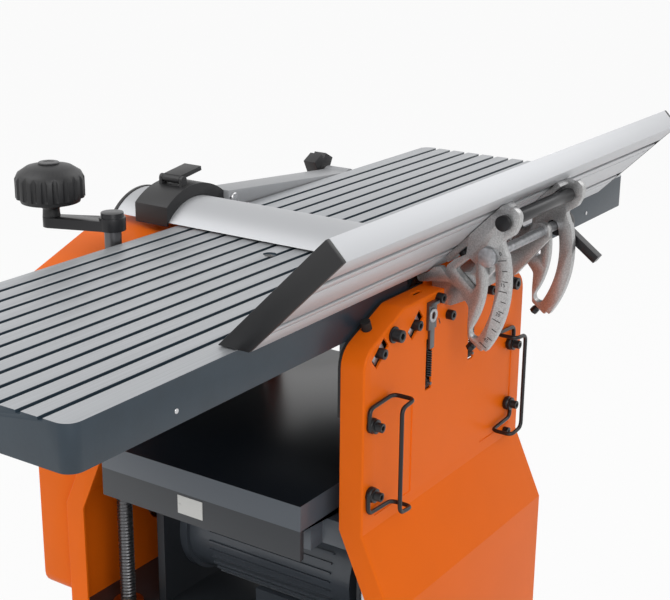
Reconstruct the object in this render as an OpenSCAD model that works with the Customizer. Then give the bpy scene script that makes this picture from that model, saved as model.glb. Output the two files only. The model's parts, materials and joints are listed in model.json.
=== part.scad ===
// Combination planer thicknesser on a four-legged stand.
// X runs along the tables with the infeed end at +X, Y runs from the operator to the fence,
// Z runs up from the floor. The origin is on the floor, centred between the foot holes.

/* [Tables] */
// Height of the infeed table above the floor
table_z = 850; // [820:1:900]
// Width of both tables
table_w = 297; // [290:1:310]
// Reach of each table from the cutterblock axis
table_reach = 500; // [440:1:600]
// Gap from the cutterblock axis to each table lip
lip_x = 22; // [21:0.5:25]
// Thickness of each table lip
lip_t = 5; // [4:0.5:6]
// Start of the full table section, from the cutterblock axis
deck_x = 38; // [36:1:40]
// Thickness of the table deck
deck_t = 12; // [9:0.5:14]
// Depth of the table skirt
skirt_h = 40; // [36:1:46]
// Thickness of the skirt wall
skirt_t = 7; // [5:0.5:8]
// Radius of the outer table corners
table_corner_r = 13; // [4:1:20]
// Number of grooves in each table
grooves = 12; // [6:1:12]
// Distance between grooves
groove_pitch = 22.5; // [16:0.5:22.5]
// Width of a groove
groove_w = 5.5; // [3:0.5:8]
// Depth of a groove
groove_d = 3; // [1.5:0.5:4]
// How far the infeed table sits below the outfeed table at rest
cut_depth = 0.8; // [0.2:0.1:1.2]
// Thickness of the ribs under the tables
rib_t = 6; // [4:0.5:10]

/* [Cutterblock] */
// Diameter of the circle that the knife edges sweep
cut_circle_d = 63; // [60:0.5:64]
// Diameter of the cutterblock body
block_d = 60.6; // [56:0.2:60.6]
// Number of knives
knives = 3; // [2:1:4]
// Thickness of a knife
knife_t = 3; // [2:0.5:4]
// Height of a knife
knife_h = 18; // [14:1:20]
// Diameter of the cutterblock journals
journal_d = 17; // [14:0.5:19]
// Outer diameter of the cutterblock bearings
cutter_bearing_d = 40; // [34:1:42]

/* [Feed] */
// Distance of each feed roller from the cutterblock axis
roller_x = 58; // [54:0.5:62]
// Diameter of the feed rollers
roller_d = 34; // [30:1:36]
// Height of the underside of the feed rollers below the table top
roller_drop = 63; // [62.5:0.5:64]
// Diameter of the feed roller shafts
roller_shaft_d = 14; // [10:0.5:16]
// Diameter of the feed roller sprockets
feed_sprocket_d = 34; // [28:1:36]
// Diameter of the gearbox sprocket
gear_sprocket_d = 30; // [24:1:36]
// Depth of the gearbox shaft below the table top
gearbox_drop = 135; // [130:1:145]
// Number of kickback fingers
fingers = 20; // [12:1:20]
// Thickness of a kickback finger
finger_t = 6; // [4:0.5:7]
// Length of a kickback finger from its rod
finger_len = 30; // [26:1:31]

/* [Side frames] */
// Half length of the side panels
panel_half = 160; // [156:1:170]
// Depth of the pressed side panels
panel_depth = 26; // [24:1:32]
// Thickness of the panel sheet
sheet_t = 2.5; // [1.5:0.5:3]
// Gap from the tables to the panels
panel_gap = 3.5; // [3:0.5:5]
// Outward step of the panels at the foot of the body
flare = 34; // [20:1:44]
// Thickness of the inner side frames
frame_t = 10; // [8:0.5:12]
// Width of the drive cover
cover_w = 80; // [72:1:95]
// Height of the body's lower edge above the floor
body_z = 415; // [380:1:430]

/* [Thicknessing table] */
// Depth of the thicknessing table below the planing table at rest
throat = 197; // [180:1:205]
// Half length of the thicknessing table
bed_half = 188; // [175:1:210]
// Depth of its front band
bed_h = 27; // [22:1:32]
// Diameter of the plain columns
column_d = 20; // [16:1:22]
// Diameter of the lead screws
screw_d = 18; // [14:1:20]
// Diameter of the sprockets on the lead screws
lift_sprocket_d = 44; // [36:1:48]

/* [Crank] */
// Length of the crank arm between its centres
arm_len = 67; // [55:1:72]
// Direction of the crank arm at rest, measured from the infeed direction
arm_angle = -67; // [-80:1:-55]
// Height of the crank arm above the table
arm_rise = 12; // [11:1:24]
// Outer diameter of the crank knob
knob_d = 72; // [60:1:76]
// Number of flutes round the crank knob
flutes = 20; // [12:1:24]

/* [Fence] */
// Length of the fence profile
fence_len = 690; // [600:5:760]
// Place of the fence's middle along the tables
fence_mid = -39; // [-60:1:0]
// Height of the fence face
fence_h = 152; // [140:1:165]
// Thickness of the fence profile
fence_t = 23; // [20:0.5:25]
// Backward tilt of the fence at rest
fence_tilt = 45; // [45]
// Radius of the clamping slot in the quadrants
slot_r = 102; // [101:0.5:104]
// Width of the clamping slot
slot_w = 11.4; // [10.8:0.2:12]
// Thickness of the quadrants
quadrant_t = 8; // [6:0.5:8]
// Diameter of the clamping rod
rod_d = 10; // [8:0.5:10]
// Angle of the clamping rod above the fence's lower edge
rod_angle = 14.4; // [13:0.2:16]
// Place of the near quadrant along the tables
near_x = 22; // [20:1:30]
// Place of the far quadrant along the tables
far_x = -118; // [-150:1:-112]

/* [Cutter guard] */
// Width of the guard plate across its arch
guard_w = 95; // [90:1:96]
// Rise of the guard plate's arch
guard_rise = 21; // [19:1:26]
// Length of the guard plate
guard_len = 366; // [340:1:366]
// Thickness of the guard plate
guard_t = 3; // [2:0.5:4]
// Width of the clamp housing
clamp_w = 46; // [40:1:50]
// Width of the guard arm
guard_arm_w = 34; // [28:1:36]
// Height of the guard arm
guard_arm_h = 18; // [14:1:20]
// Distance of the guard's pivot behind the cutterblock
guard_pivot_x = 312; // [300:1:340]

/* [Drive] */
// Diameter of the motor
motor_d = 120; // [110:1:124]
// Height of the motor shaft above the body's lower edge
motor_rise = 82; // [78:1:86]
// Diameter of the motor pulley
motor_pulley_d = 54; // [46:1:60]
// Diameter of the cutterblock pulley
cutter_pulley_d = 34; // [30:1:36]
// Width of the drive belt
belt_w = 16; // [10:1:18]
// Thickness of the belts
belt_t = 4; // [3:0.5:4.5]

/* [Panel hardware] */
// Diameter of a tension spring across its curls
spring_d = 8; // [7:0.5:9]
// Diameter of the spring wire
spring_wire = 1.6; // [1.2:0.1:1.8]
// Number of curls of a tension spring
spring_curls = 11; // [8:1:12]
// Distance between curls
spring_pitch = 2.5; // [2.4:0.1:2.8]
// Diameter of the wire of the hooks
hook_wire = 5; // [4:0.5:6]

/* [Stand] */
// Distance of the foot holes along the tables
foot_x = 470; // [440:5:520]
// Distance of the foot holes across the tables
foot_y = 550; // [520:5:600]
// Diameter of the foot holes
foot_hole_d = 11; // [9:1:14]
// Width of a leg flange
leg_w = 45; // [35:1:50]
// Thickness of a leg
leg_t = 3; // [2:0.5:4]
// Height of the rubber feet
foot_h = 8; // [5:1:15]
// Height of the stand rails above the floor
rail_z = 130; // [90:5:220]

/* [Hidden] */

$fn = 48;
eps = 0.01;
fit = 0.05;
gap = 0.3;

half_w = table_w / 2;
outfeed_z = table_z + cut_depth;
cutter_z = outfeed_z - cut_circle_d / 2;
frame_out = half_w - skirt_t - 2;
frame_in = frame_out - frame_t;
panel_in = half_w + panel_gap;
panel_out = panel_in + panel_depth;
foot_out = panel_out + flare;
cover_out = panel_out + cover_w;
panel_top = table_z - 16;
panel_shoulder = table_z - 45;
top_half = 91;
flare_top = table_z - 225;
flare_foot = table_z - 300;
base_t = 4;
base_top = body_z + base_t;
roller_z = table_z - roller_drop + roller_d / 2;
gearbox_z = table_z - gearbox_drop;
column_x = panel_half - 41;
column_y = panel_in + 10.5;
bearing_plate_z = table_z - 90;
bearing_plate_t = 10;
bed_z = table_z - throat;
bed_y = frame_in - 2.5;
motor_z = body_z + motor_rise;
belt_y = -cover_out + 26;
feed_y = -panel_out - 8;
far_feed_y = feed_y - 9;
gear_belt_y = -panel_out - 28;
sprocket_t = 6;
head_d = 13;
head_h = 8;

// A box between two corners.
module box(x0, x1, y0, y1, z0, z1) {
    translate([x0, y0, z0])
        cube([x1 - x0, y1 - y0, z1 - z0]);
}

// A round bar along X, Y or Z.
module bar_x(d, x0, x1, y, z) {
    translate([x0, y, z])
        rotate([0, 90, 0])
            cylinder(d = d, h = x1 - x0);
}

module bar_y(d, y0, y1, x, z) {
    translate([x, y1, z])
        rotate([90, 0, 0])
            cylinder(d = d, h = y1 - y0);
}

module bar_z(d, z0, z1, x, y) {
    translate([x, y, z0])
        cylinder(d = d, h = z1 - z0);
}

// A plate of an outline given as X and Z, from y0 to y1.
module plate_y(points, y0, y1) {
    translate([0, y1, 0])
        rotate([90, 0, 0])
            linear_extrude(y1 - y0)
                polygon(points);
}

// A plate of an outline given as Y and Z, from x0 to x1.
module plate_x(points, x0, x1) {
    translate([x0, 0, 0])
        rotate([90, 0, 90])
            linear_extrude(x1 - x0)
                polygon(points);
}

// A direction turned by an angle.
function turned(v, a) = [v[0] * cos(a) - v[1] * sin(a), v[0] * sin(a) + v[1] * cos(a)];

// Corner b of an outline, rounded to radius r with a few points.
function corner(a, b, c, r, steps) =
    r == 0 ? [b] :
    let (u = (a - b) / norm(a - b), v = (c - b) / norm(c - b),
         half = acos(u * v) / 2, middle = (u + v) / norm(u + v),
         centre = b + middle * r / sin(half), start = b + u * r / tan(half) - centre,
         side = cross(u, v) < 0 ? 1 : -1, sweep = side * (180 - 2 * half))
    [for (i = [0 : steps]) centre + turned(start, sweep * i / steps)];

// An outline whose points are [x, y, radius].
function rounded(points, steps = 6) =
    let (n = len(points), flat = [for (p = points) [p[0], p[1]]])
    [for (i = [0 : n - 1])
        each corner(flat[(i + n - 1) % n], flat[i], flat[(i + 1) % n], points[i][2], steps)];

// Points along an arc round the origin.
function arc(r, a0, a1, steps) = [for (i = [0 : steps]) r * turned([1, 0], a0 + (a1 - a0) * i / steps)];

// A socket screw head along Y, its bearing face at y, pointing outwards in the sense of side.
module socket_head(x, y, z, side = 1, d = head_d, h = head_h) {
    translate([x, y, z])
        rotate([-90 * side, 0, 0])
            difference() {
                cylinder(d = d, h = h);
                translate([0, 0, h / 2])
                    cylinder(d = d * 0.55, h = h, $fn = 6);
            }
}

// Tables

// One table, drawn towards +X with its top at Z 0. notch_side is the side cut for the feed shafts.
module table_casting(notch_side) {
    notch_x = roller_x + 42;
    notch_drop = skirt_h - 22;
    difference() {
        union() {
            translate([0, 0, -skirt_h])
                linear_extrude(skirt_h)
                    polygon(rounded([[deck_x, -half_w, 0], [table_reach, -half_w, table_corner_r],
                                     [table_reach, half_w, table_corner_r], [deck_x, half_w, 0]], 9));
            box(lip_x, deck_x + eps, -half_w, half_w, -lip_t, 0);
        }
        box(deck_x - eps, table_reach - skirt_t, -half_w + skirt_t, half_w - skirt_t, -skirt_h - 1, -deck_t);
        for (i = [0 : grooves - 1])
            box(lip_x - 1, table_reach + 1, groove_y(i) - groove_w / 2, groove_y(i) + groove_w / 2,
                -groove_d, 1);
        box(deck_x - 1, notch_x, notch_side * half_w - skirt_t - 1, notch_side * half_w + skirt_t + 1,
            -skirt_h - 1, -notch_drop);
    }
    box(panel_half + 15, table_reach - skirt_t, -rib_t / 2, rib_t / 2, -skirt_h + rib_t, -deck_t);
    for (x = [panel_half + 15, (panel_half + table_reach) / 2])
        box(x, x + rib_t, -half_w + skirt_t, half_w - skirt_t, -skirt_h + rib_t, -deck_t);
}

function groove_y(i) = -half_w + 21 + i * groove_pitch;

// Places of the two slots that guide the infeed table, as X and Z.
slot_places = [[panel_half - 27, table_z - 49], [roller_x + 12, table_z - 39]];
slot_slope = 40;
lug_w = 26;

module infeed_table() {
    color("lightslategray")
    difference() {
        union() {
            translate([0, 0, table_z])
                table_casting(-1);
            for (p = slot_places)
                box(p[0] - lug_w / 2, p[0] + lug_w / 2, half_w - skirt_t, half_w,
                    p[1] - 9, table_z - deck_t);
            box(knob_lug_x, knob_lug_x + 8, -half_w + skirt_t, knob_y + 14, knob_z - 10, table_z - deck_t);
        }
        for (p = slot_places)
            bar_y(8 + 2 * fit, half_w - skirt_t - 1, half_w + 1, p[0], p[1]);
        bar_x(depth_screw_d + 2 * fit, knob_lug_x - 1, knob_lug_x + 9, knob_y, knob_z);
        bar_z(14, table_z - 2, table_z + 1, 63, 0);
    }
}

module outfeed_table() {
    color("lightslategray")
    translate([0, 0, outfeed_z])
        mirror([1, 0, 0])
            table_casting(-1);
}

// Grey plates behind the depth slots, with the screws that hold them to the infeed table.
module depth_slot_plates() {
    plate_y0 = panel_out - sheet_t - 3.5;
    plate_y1 = panel_out - sheet_t - 1;
    color("dimgray")
    for (p = slot_places) {
        bar_y(8, half_w - skirt_t, plate_y0, p[0], p[1]);
        translate([p[0], plate_y1, p[1]])
            rotate([90, slot_slope, 0])
                translate([0, 0, (plate_y1 - plate_y0) / 2])
                    cube([20, 13, plate_y1 - plate_y0], center = true);
        socket_head(p[0], plate_y1, p[1], 1, 10, 9);
    }
}

depth_screw_d = 10;
knob_y = -(bed_y + 7.5);
knob_z = table_z - 62;
knob_lug_x = panel_half + 72;

// Depth setting screw, captive in a lug of the infeed table, with its star knob.
module depth_screw_knob() {
    color([0.1, 0.1, 0.1]) {
        bar_x(depth_screw_d, panel_half - 6, knob_lug_x + 12, knob_y, knob_z);
        bar_x(18, knob_lug_x + 8 + gap, knob_lug_x + 16, knob_y, knob_z);
        translate([knob_lug_x + 16, knob_y, knob_z])
            rotate([0, 90, 0])
                difference() {
                    cylinder(d = 44, h = 18);
                    for (a = [0 : 60 : 300])
                        rotate(a)
                            translate([26, 0, -1])
                                cylinder(d = 16, h = 20);
                }
    }
}

// Bracket on the operator-side panel that carries the depth screw.
module depth_bracket() {
    color("dimgray")
    difference() {
        union() {
            box(panel_half, panel_half + 4, -panel_out + 4, knob_y + 6, knob_z - 18, knob_z + 14);
            box(panel_half + 4, panel_half + 14, knob_y - 13, knob_y + 6, knob_z - 18, knob_z + 14);
        }
        box(panel_half - 1, panel_half + 15,
            knob_y - depth_screw_d / 2 - 0.6, knob_y + depth_screw_d / 2 + 0.6,
            knob_z - depth_screw_d / 2 - 4, knob_z + depth_screw_d / 2 + 2);
    }
}

// Cutterblock, its knives and its bearings

module knife_slots(extra) {
    for (a = [0 : 360 / knives : 359])
        rotate([0, a, 0])
            box(-knife_t - extra, knife_t + extra, -frame_in, frame_in,
                block_d / 2 - knife_h - extra, block_d / 2 + 5);
}

module cutterblock() {
    color("silver")
    translate([0, 0, cutter_z]) {
        difference() {
            bar_y(block_d, -bed_y, bed_y, 0, 0);
            knife_slots(0);
        }
        bar_y(journal_d, bed_y, frame_out + 2, 0, 0);
        bar_y(journal_d, belt_y - belt_w / 2 - 4, -bed_y, 0, 0);
    }
}

module knives_set() {
    color("gainsboro")
    translate([0, 0, cutter_z])
        for (a = [0 : 360 / knives : 359])
            rotate([0, a, 0])
                box(0, knife_t, -bed_y + 1, bed_y - 1, block_d / 2 - knife_h, cut_circle_d / 2 - 0.2);
}

module gib_bars() {
    color("gray")
    translate([0, 0, cutter_z])
        for (a = [0 : 360 / knives : 359])
            rotate([0, a, 0])
                difference() {
                    box(-knife_t, 0, -bed_y + 2, bed_y - 2, block_d / 2 - knife_h, block_d / 2 - 1.5);
                    for (y = [-2 : 2])
                        translate([-knife_t / 2, y * bed_y * 0.4, block_d / 2 - 3])
                            cylinder(d = 2, h = 5);
                }
}

// Ring along Y in both side frames, at x and z.
module frame_ring(d, bore, x, z) {
    for (s = [-1, 1])
        difference() {
            bar_y(d, s > 0 ? frame_in : -frame_out, s > 0 ? frame_out : -frame_in, x, z);
            bar_y(bore, -frame_out - 1, frame_out + 1, x, z);
        }
}

// Ball bearings of the cutterblock and bushes of the feed rollers.
module bearing_set() {
    color("darkgray") {
        frame_ring(cutter_bearing_d, journal_d + 2 * fit, 0, cutter_z);
        for (x = [-roller_x, roller_x])
            frame_ring(bush_d, roller_shaft_d + 2 * fit, x, roller_z);
    }
}

// A belt pulley along Y, its middle at y.
module pulley(d, w, bore, x, y, z) {
    translate([x, y + w / 2, z])
        rotate([90, 0, 0])
            difference() {
                union() {
                    cylinder(d = d, h = w);
                    for (h = [-2, w])
                        translate([0, 0, h])
                            cylinder(d = d + 8, h = 2);
                }
                translate([0, 0, -3])
                    cylinder(d = bore, h = w + 6);
            }
}

module cutter_pulley() {
    color("darkgray") {
        pulley(cutter_pulley_d, belt_w + 2, journal_d, 0, belt_y, cutter_z);
        pulley(26, 8, journal_d, 0, gear_belt_y, cutter_z);
    }
}

// Side frames, pan and panels

bush_d = roller_shaft_d + 10;

module side_frame(left) {
    wide = column_x + 9;
    narrow = column_x - 27;
    step_z = bearing_plate_z - 8;
    y0 = left ? -frame_out : frame_in;
    y1 = left ? -frame_in : frame_out;
    difference() {
        union() {
            plate_y([[-narrow, base_top], [narrow, base_top], [narrow, step_z], [wide, step_z],
                     [wide, table_z - 18], [-wide, table_z - 18], [-wide, step_z], [-narrow, step_z]], y0, y1);
            bar_y(cutter_bearing_d + 8, y0, y1, 0, cutter_z);
        }
        bar_y(cutter_bearing_d, y0 - 1, y1 + 1, 0, cutter_z);
        for (x = [-roller_x, roller_x])
            bar_y(bush_d, y0 - 1, y1 + 1, x, roller_z);
        bar_y(8, y0 - 1, y1 + 1, -wide + 18, finger_rod_z);
        if (left) {
            bar_y(30, y0 - 1, y1 + 1, 0, motor_z);
            bar_y(24, y0 - 1, y1 + 1, 0, gearbox_z);
        }
    }
}

module side_frames() {
    color([0.16, 0.18, 0.2]) {
        side_frame(true);
        side_frame(false);
    }
}

// Plates on the outside of the side frames that hold the tops of the screws and columns.
module bearing_plates() {
    color([0.16, 0.18, 0.2])
    for (s = [-1, 1])
        difference() {
            box(-column_x - 24, column_x + 24, s > 0 ? frame_out : -panel_out + sheet_t,
                s > 0 ? panel_out - sheet_t : -frame_out, bearing_plate_z, bearing_plate_z + bearing_plate_t);
            for (x = [-1, 1])
                bar_z(x * s < 0 ? screw_d + 6 : column_d, bearing_plate_z - 1,
                      bearing_plate_z + bearing_plate_t + 1,
                      x * column_x, s * column_y);
            if (s > 0)
                box(far_spring_x - 20, near_spring_x + 20, panel_out - 10, panel_out, bearing_plate_z - 1,
                    bearing_plate_z + bearing_plate_t + 1);
        }
}

module base_pan() {
    color([0.16, 0.18, 0.2])
    difference() {
        union() {
            box(-panel_half + sheet_t, panel_half - sheet_t, -foot_out + sheet_t, foot_out - sheet_t,
                body_z, base_top);
            for (s = [-1, 1])
                box(s > 0 ? panel_half - sheet_t - 3 : -panel_half + sheet_t,
                    s > 0 ? panel_half - sheet_t : -panel_half + sheet_t + 3,
                    -frame_in + 30, frame_in - 30, base_top, base_top + 40);
        }
        for (x = [-1, 1], y = [-1, 1])
            bar_z(x * y < 0 ? screw_d + 8 : column_d, body_z - 1, base_top + 1, x * column_x, y * column_y);
    }
}

// Outline of a side panel in X and Z, moved inwards by t.
function panel_outline(t) =
    let (h = panel_half - t, top = panel_top - t, low = t > 0 ? body_z - 1 : body_z)
    rounded([[-h, low, 0], [h, low, 0], [h, panel_shoulder - t / 2, 24 - t], [top_half - t / 4, top, 18 - t],
             [-top_half + t / 4, top, 18 - t], [-h, panel_shoulder - t / 2, 24 - t]], 5);

// Section of a side panel in Y and Z, moved inwards by t.
function panel_section(t) =
    [[panel_in - (t > 0 ? 1 : 0), body_z - 2], [foot_out - t, body_z - 2], [foot_out - t, flare_foot],
     [panel_out - t, flare_top], [panel_out - t, table_z + 20], [panel_in - (t > 0 ? 1 : 0), table_z + 20]];

// The solid that a side panel wraps, on the +Y side.
module panel_block(t) {
    intersection() {
        plate_y(panel_outline(t), panel_in - 2, foot_out + 1);
        plate_x(panel_section(t), -panel_half - 1, panel_half + 1);
    }
}

// The inner edge of the flange follows the flare too, so the pan keeps one depth.
module flare_relief() {
    plate_x([[panel_in - 3, body_z - 3], [panel_in + flare, body_z - 3], [panel_in + flare, flare_foot],
             [panel_in, flare_top], [panel_in - 3, flare_top]], -panel_half - 2, panel_half + 2);
}

module panel_pan() {
    difference() {
        panel_block(0);
        panel_block(sheet_t);
        flare_relief();
    }
}

// A slot in the panel's face, w wide and l long, turned by a.
module face_slot(x, z, w, l, a) {
    translate([x, panel_out + 2, z])
        rotate([90, 0, 0])
            rotate(a)
                linear_extrude(8)
                    square([l, w], center = true);
}

near_spring_x = 43;
far_spring_x = -43;
spring_top = table_z - 64;
spring_reach = spring_curls * spring_pitch;
far_spring_z = spring_top - 3;
near_spring_z = spring_top - 9;

module right_panel() {
    color([0.92, 0.38, 0.08])
    difference() {
        union() {
            panel_pan();
            plate_y(rounded([[15, panel_top - sheet_t, 0], [15, table_z - 1, 3], [-96, table_z - 1, 8],
                             [-112, panel_top - sheet_t, 0]], 4), panel_in, panel_in + sheet_t);
        }
        for (p = slot_places)
            face_slot(p[0], p[1], 13, 27, -slot_slope);
        face_slot(near_spring_x, near_spring_z - spring_reach / 2, 11, spring_span + 6, 90);
        face_slot(far_spring_x, far_spring_z - spring_reach / 2, 11, spring_span + 6, 90);
        box(36, 53, panel_in + 8, panel_in + 13, panel_top - 8, panel_top + 1);
        for (x = [-1, 1])
            box(x > 0 ? 72 : -138, x > 0 ? 138 : -72, panel_out - 1, panel_out + 1,
                table_z - 212, table_z - 112);
    }
}

window_half = 96;

module left_panel() {
    color([0.92, 0.38, 0.08])
    mirror([0, 1, 0])
        difference() {
            panel_pan();
            box(-window_half, window_half, panel_out - sheet_t - 1, panel_out + 1,
                gearbox_z - 40, table_z - 20);
            bar_y(60, panel_out - 10, foot_out + 10, 0, motor_z);
            bar_z(screw_d + 4, panel_shoulder - 20, table_z, column_x, column_y);
            box(column_x - screw_d / 2 - 2, column_x + screw_d / 2 + 2, panel_in - 1, column_y,
                panel_shoulder - 10, table_z);
        }
}

cover_low = body_z + 15;
cover_half = panel_half - 5;

// Outline of the drive cover in X and Z, moved inwards by t.
function cover_outline(t) =
    rounded([[-cover_half + t, cover_low + t, 18 - t], [cover_half - t, cover_low + t, 18 - t],
             [cover_half - t, table_z - 48 - t / 2, 16 - t], [67, table_z - 16 - t, 0],
             [5, table_z - 3 - t, 0],
             [-67, table_z - 16 - t, 0], [-cover_half + t, table_z - 48 - t / 2, 16 - t]], 5);

// Section of the drive cover in Y and Z, on the +Y side, moved inwards by t.
function cover_section(t) =
    [[panel_out - (t > 0 ? 1 : 0), table_z - 12 - t], [cover_out - 22, table_z - 3 - t],
     [cover_out - 8, table_z - 3 - t], [cover_out - t, table_z - 14 - t], [cover_out - t, cover_low - 1],
     [foot_out - (t > 0 ? 1 : 0), cover_low - 1],
     [foot_out - (t > 0 ? 1 : 0), flare_foot], [panel_out - (t > 0 ? 1 : 0), flare_top]];

module drive_cover() {
    color([0.92, 0.38, 0.08])
    mirror([0, 1, 0])
        difference() {
            intersection() {
                plate_y(cover_outline(0), panel_out, cover_out);
                plate_x(cover_section(0), -cover_half - 1, cover_half + 1);
            }
            intersection() {
                plate_y(cover_outline(sheet_t), panel_out - 2, cover_out);
                plate_x(cover_section(sheet_t), -cover_half - 1, cover_half + 1);
            }
        }
}

// Black seals between the tables and the panels, and the rubber stop of the fence-side panel.
module edge_seals() {
    color([0.05, 0.05, 0.05]) {
        for (s = [0, 1])
            mirror([0, s, 0])
                difference() {
                    plate_y(panel_outline(0), panel_in - 2.8, panel_in);
                    plate_y(panel_outline(5), panel_in - 4, panel_in + 1);
                    box(-panel_half, panel_half, panel_in - 4, panel_in + 1, body_z - 7, table_z - 110);
                }
        translate([127, panel_in + 7, table_z - 30.8])
            rotate([0, 23, 0])
                cylinder(d = 10, h = 9);
    }
}

// Screws of the fence-side panel: [x, height from the table top, head diameter, washer diameter].
// Those with a washer of 14 mm hold the wire hooks.
hook_seat = hook_wire + 0.6;
hook_shift = [6, 12];
panel_screw_list = [[111, -37, 12, 16], [29, -22, 10, 0], [8, -45, 10, 0], [-77, -41, 10, 0],
                    [-124, -45, 13, 18], [-129, -218, 9, 0], [142 + hook_shift[0], -115, 9, 14],
                    [142 + hook_shift[0], -185, 9, 14], [-142 + hook_shift[1], -115, 9, 14],
                    [-142 + hook_shift[1], -185, 9, 14]];

module panel_screws() {
    color([0.08, 0.08, 0.08])
    for (p = panel_screw_list) {
        washer_h = p[3] > 0 ? 2 : 0;
        hook_rest = p[3] == 14 ? hook_seat : 0;
        if (p[3] > 0)
            bar_y(p[3], panel_out + hook_rest, panel_out + hook_rest + washer_h, p[0], table_z + p[1]);
        if (hook_rest > 0)
            bar_y(6, panel_out, panel_out + hook_rest, p[0], table_z + p[1]);
        socket_head(p[0], panel_out + hook_rest + washer_h, table_z + p[1], 1, p[2], p[2] * 0.7);
    }
}

// Wire hook between two bolts of the panel, as the line of its middle.
hook_y = panel_out + hook_seat / 2;
hook_out_y = panel_out + 26;
eye_x = 142;
eye_z = [table_z - 115, table_z - 185];
hook_corners = [[eye_x + 6, hook_y, eye_z[0] - 1], [eye_x + 6, hook_y, eye_z[0] + 18],
                [107, hook_y, eye_z[0] + 20],
                [107, hook_out_y, eye_z[0] + 20], [129, hook_out_y, eye_z[0] + 18],
                [129, hook_out_y, eye_z[1] - 18], [107, hook_out_y, eye_z[1] - 20],
                [107, hook_y, eye_z[1] - 20], [eye_x + 6, hook_y, eye_z[1] - 18],
                [eye_x + 6, hook_y, eye_z[1] + 1]];

// Corner b of a line in space, cut back by r on both sides and rounded by a quadratic curve.
function bend(a, b, c, r) =
    let (p = b + unit(a - b) * r, q = b + unit(c - b) * r)
    [for (t = [0 : 0.25 : 1]) (1 - t) * (1 - t) * p + 2 * t * (1 - t) * b + t * t * q];
function bent_line(points, r) =
    let (n = len(points))
    concat([points[0]], [for (i = [1 : n - 2]) each bend(points[i - 1], points[i], points[i + 1], r)],
           [points[n - 1]]);

module wire_hooks() {
    color([0.1, 0.1, 0.11])
    for (s = [0, 1])
        translate([hook_shift[s], 0, 0])
        mirror([s, 0, 0]) {
            tube(bent_line(hook_corners, 7), hook_wire / 2, 12);
            for (z = eye_z)
                difference() {
                    bar_y(hook_wire * 2 + 7, panel_out, panel_out + hook_seat, eye_x, z);
                    bar_y(6, panel_out - 1, panel_out + hook_seat + 1, eye_x, z);
                }
        }
}

spring_pin_d = 3.4;

// Pin along Y for the hook of a spring, on a tab behind the panel.
module spring_anchor(x, z, up) {
    bar_y(spring_pin_d, panel_out - sheet_t - 3, panel_out + 3, x, z);
    box(x - 8, x + 8, panel_out - sheet_t - 3, panel_out - sheet_t,
        z - (up > 0 ? 2 : 6), z + (up > 0 ? 6 : 2));
}

// Latch on the panel that the near spring pulls down, and the pins of both springs.
module latch_bracket() {
    y0 = panel_out;
    z1 = table_z - 28;
    color("gray") {
        difference() {
            union() {
                box(near_spring_x - 7.5, near_spring_x + 7.5, y0, y0 + 3, z1 - 22, z1 + 6);
                box(near_spring_x - 7.5, near_spring_x + 7.5, y0, y0 + 6, z1 + 3, z1 + 6);
                box(near_spring_x - 4, near_spring_x + 4, y0, y0 + 3, z1 - 42, z1 - 22);
            }
            bar_y(7, y0 - 1, y0 + 4, near_spring_x, z1 - 8);
        }
        bar_y(spring_pin_d, y0 - 4, y0 + 2, near_spring_x, near_spring_z + hook_z);
        spring_anchor(near_spring_x, near_spring_z - spring_reach - hook_z, -1);
        spring_anchor(far_spring_x, far_spring_z + hook_z, 1);
        spring_anchor(far_spring_x, far_spring_z - spring_reach - hook_z, -1);
    }
}

// A tube of radius r along a path, as one mesh.
function unit(v) = v / norm(v);
function frame_next(n, t) = unit(n - (n * t) * t);
function frames(path, tangents, i, n) =
    i == len(path) ? [] :
    let (m = frame_next(n, tangents[i])) concat([m], frames(path, tangents, i + 1, m));
module tube(path, r, sides) {
    count = len(path);
    tangents = [for (i = [0 : count - 1]) unit(path[min(i + 1, count - 1)] - path[max(i - 1, 0)])];
    normals = frames(path, tangents, 0, [0, 1, 0.02]);
    points = [for (i = [0 : count - 1], k = [0 : sides - 1])
        path[i] + r * (normals[i] * cos(360 * k / sides)
                       + cross(tangents[i], normals[i]) * sin(360 * k / sides))];
    last = (count - 1) * sides;
    faces = concat(
        [for (i = [0 : count - 2], k = [0 : sides - 1])
            [i * sides + k, (i + 1) * sides + k, (i + 1) * sides + (k + 1) % sides]],
        [for (i = [0 : count - 2], k = [0 : sides - 1])
            [i * sides + k, (i + 1) * sides + (k + 1) % sides, i * sides + (k + 1) % sides]],
        [for (k = [1 : sides - 2]) [0, k, k + 1]],
        [for (k = [1 : sides - 2]) [last, last + k + 1, last + k]]);
    polyhedron(points, faces);
}

coil_r = (spring_d - spring_wire) / 2;
rings_per_curl = 8;
hook_r = coil_r * 0.9;
hook_z = hook_r * 2 + 0.4;
spring_span = spring_reach + 2 * hook_z + 2 * hook_r + spring_wire;

// The line of a tension spring: a hook, the curls downwards, and a hook.
function spring_line() =
    let (n = spring_curls * rings_per_curl)
    concat(
        [[-hook_r, 0, hook_r * 2 - spring_wire], [-hook_r, 0, hook_r * 2 + 0.2]],
        [for (a = [180 : -36 : 36]) [hook_r * cos(a), 0, hook_z + hook_r * sin(a)]],
        [[coil_r * 0.98, 0, hook_r * 1.3], [coil_r, 0, hook_r * 0.5]],
        [for (i = [0 : n]) [coil_r * cos(360 * i / rings_per_curl), coil_r * sin(360 * i / rings_per_curl),
                            -i * spring_pitch / rings_per_curl]],
        [[coil_r, 0, -spring_reach - hook_r * 0.5], [coil_r * 0.98, 0, -spring_reach - hook_r * 1.3]],
        [for (a = [-36 : -36 : -180]) [hook_r * cos(a), 0, -spring_reach - hook_z + hook_r * sin(a)]],
        [[-hook_r, 0, -spring_reach - hook_r * 2 - 0.2],
         [-hook_r, 0, -spring_reach - hook_r * 2 + spring_wire]]);

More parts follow.
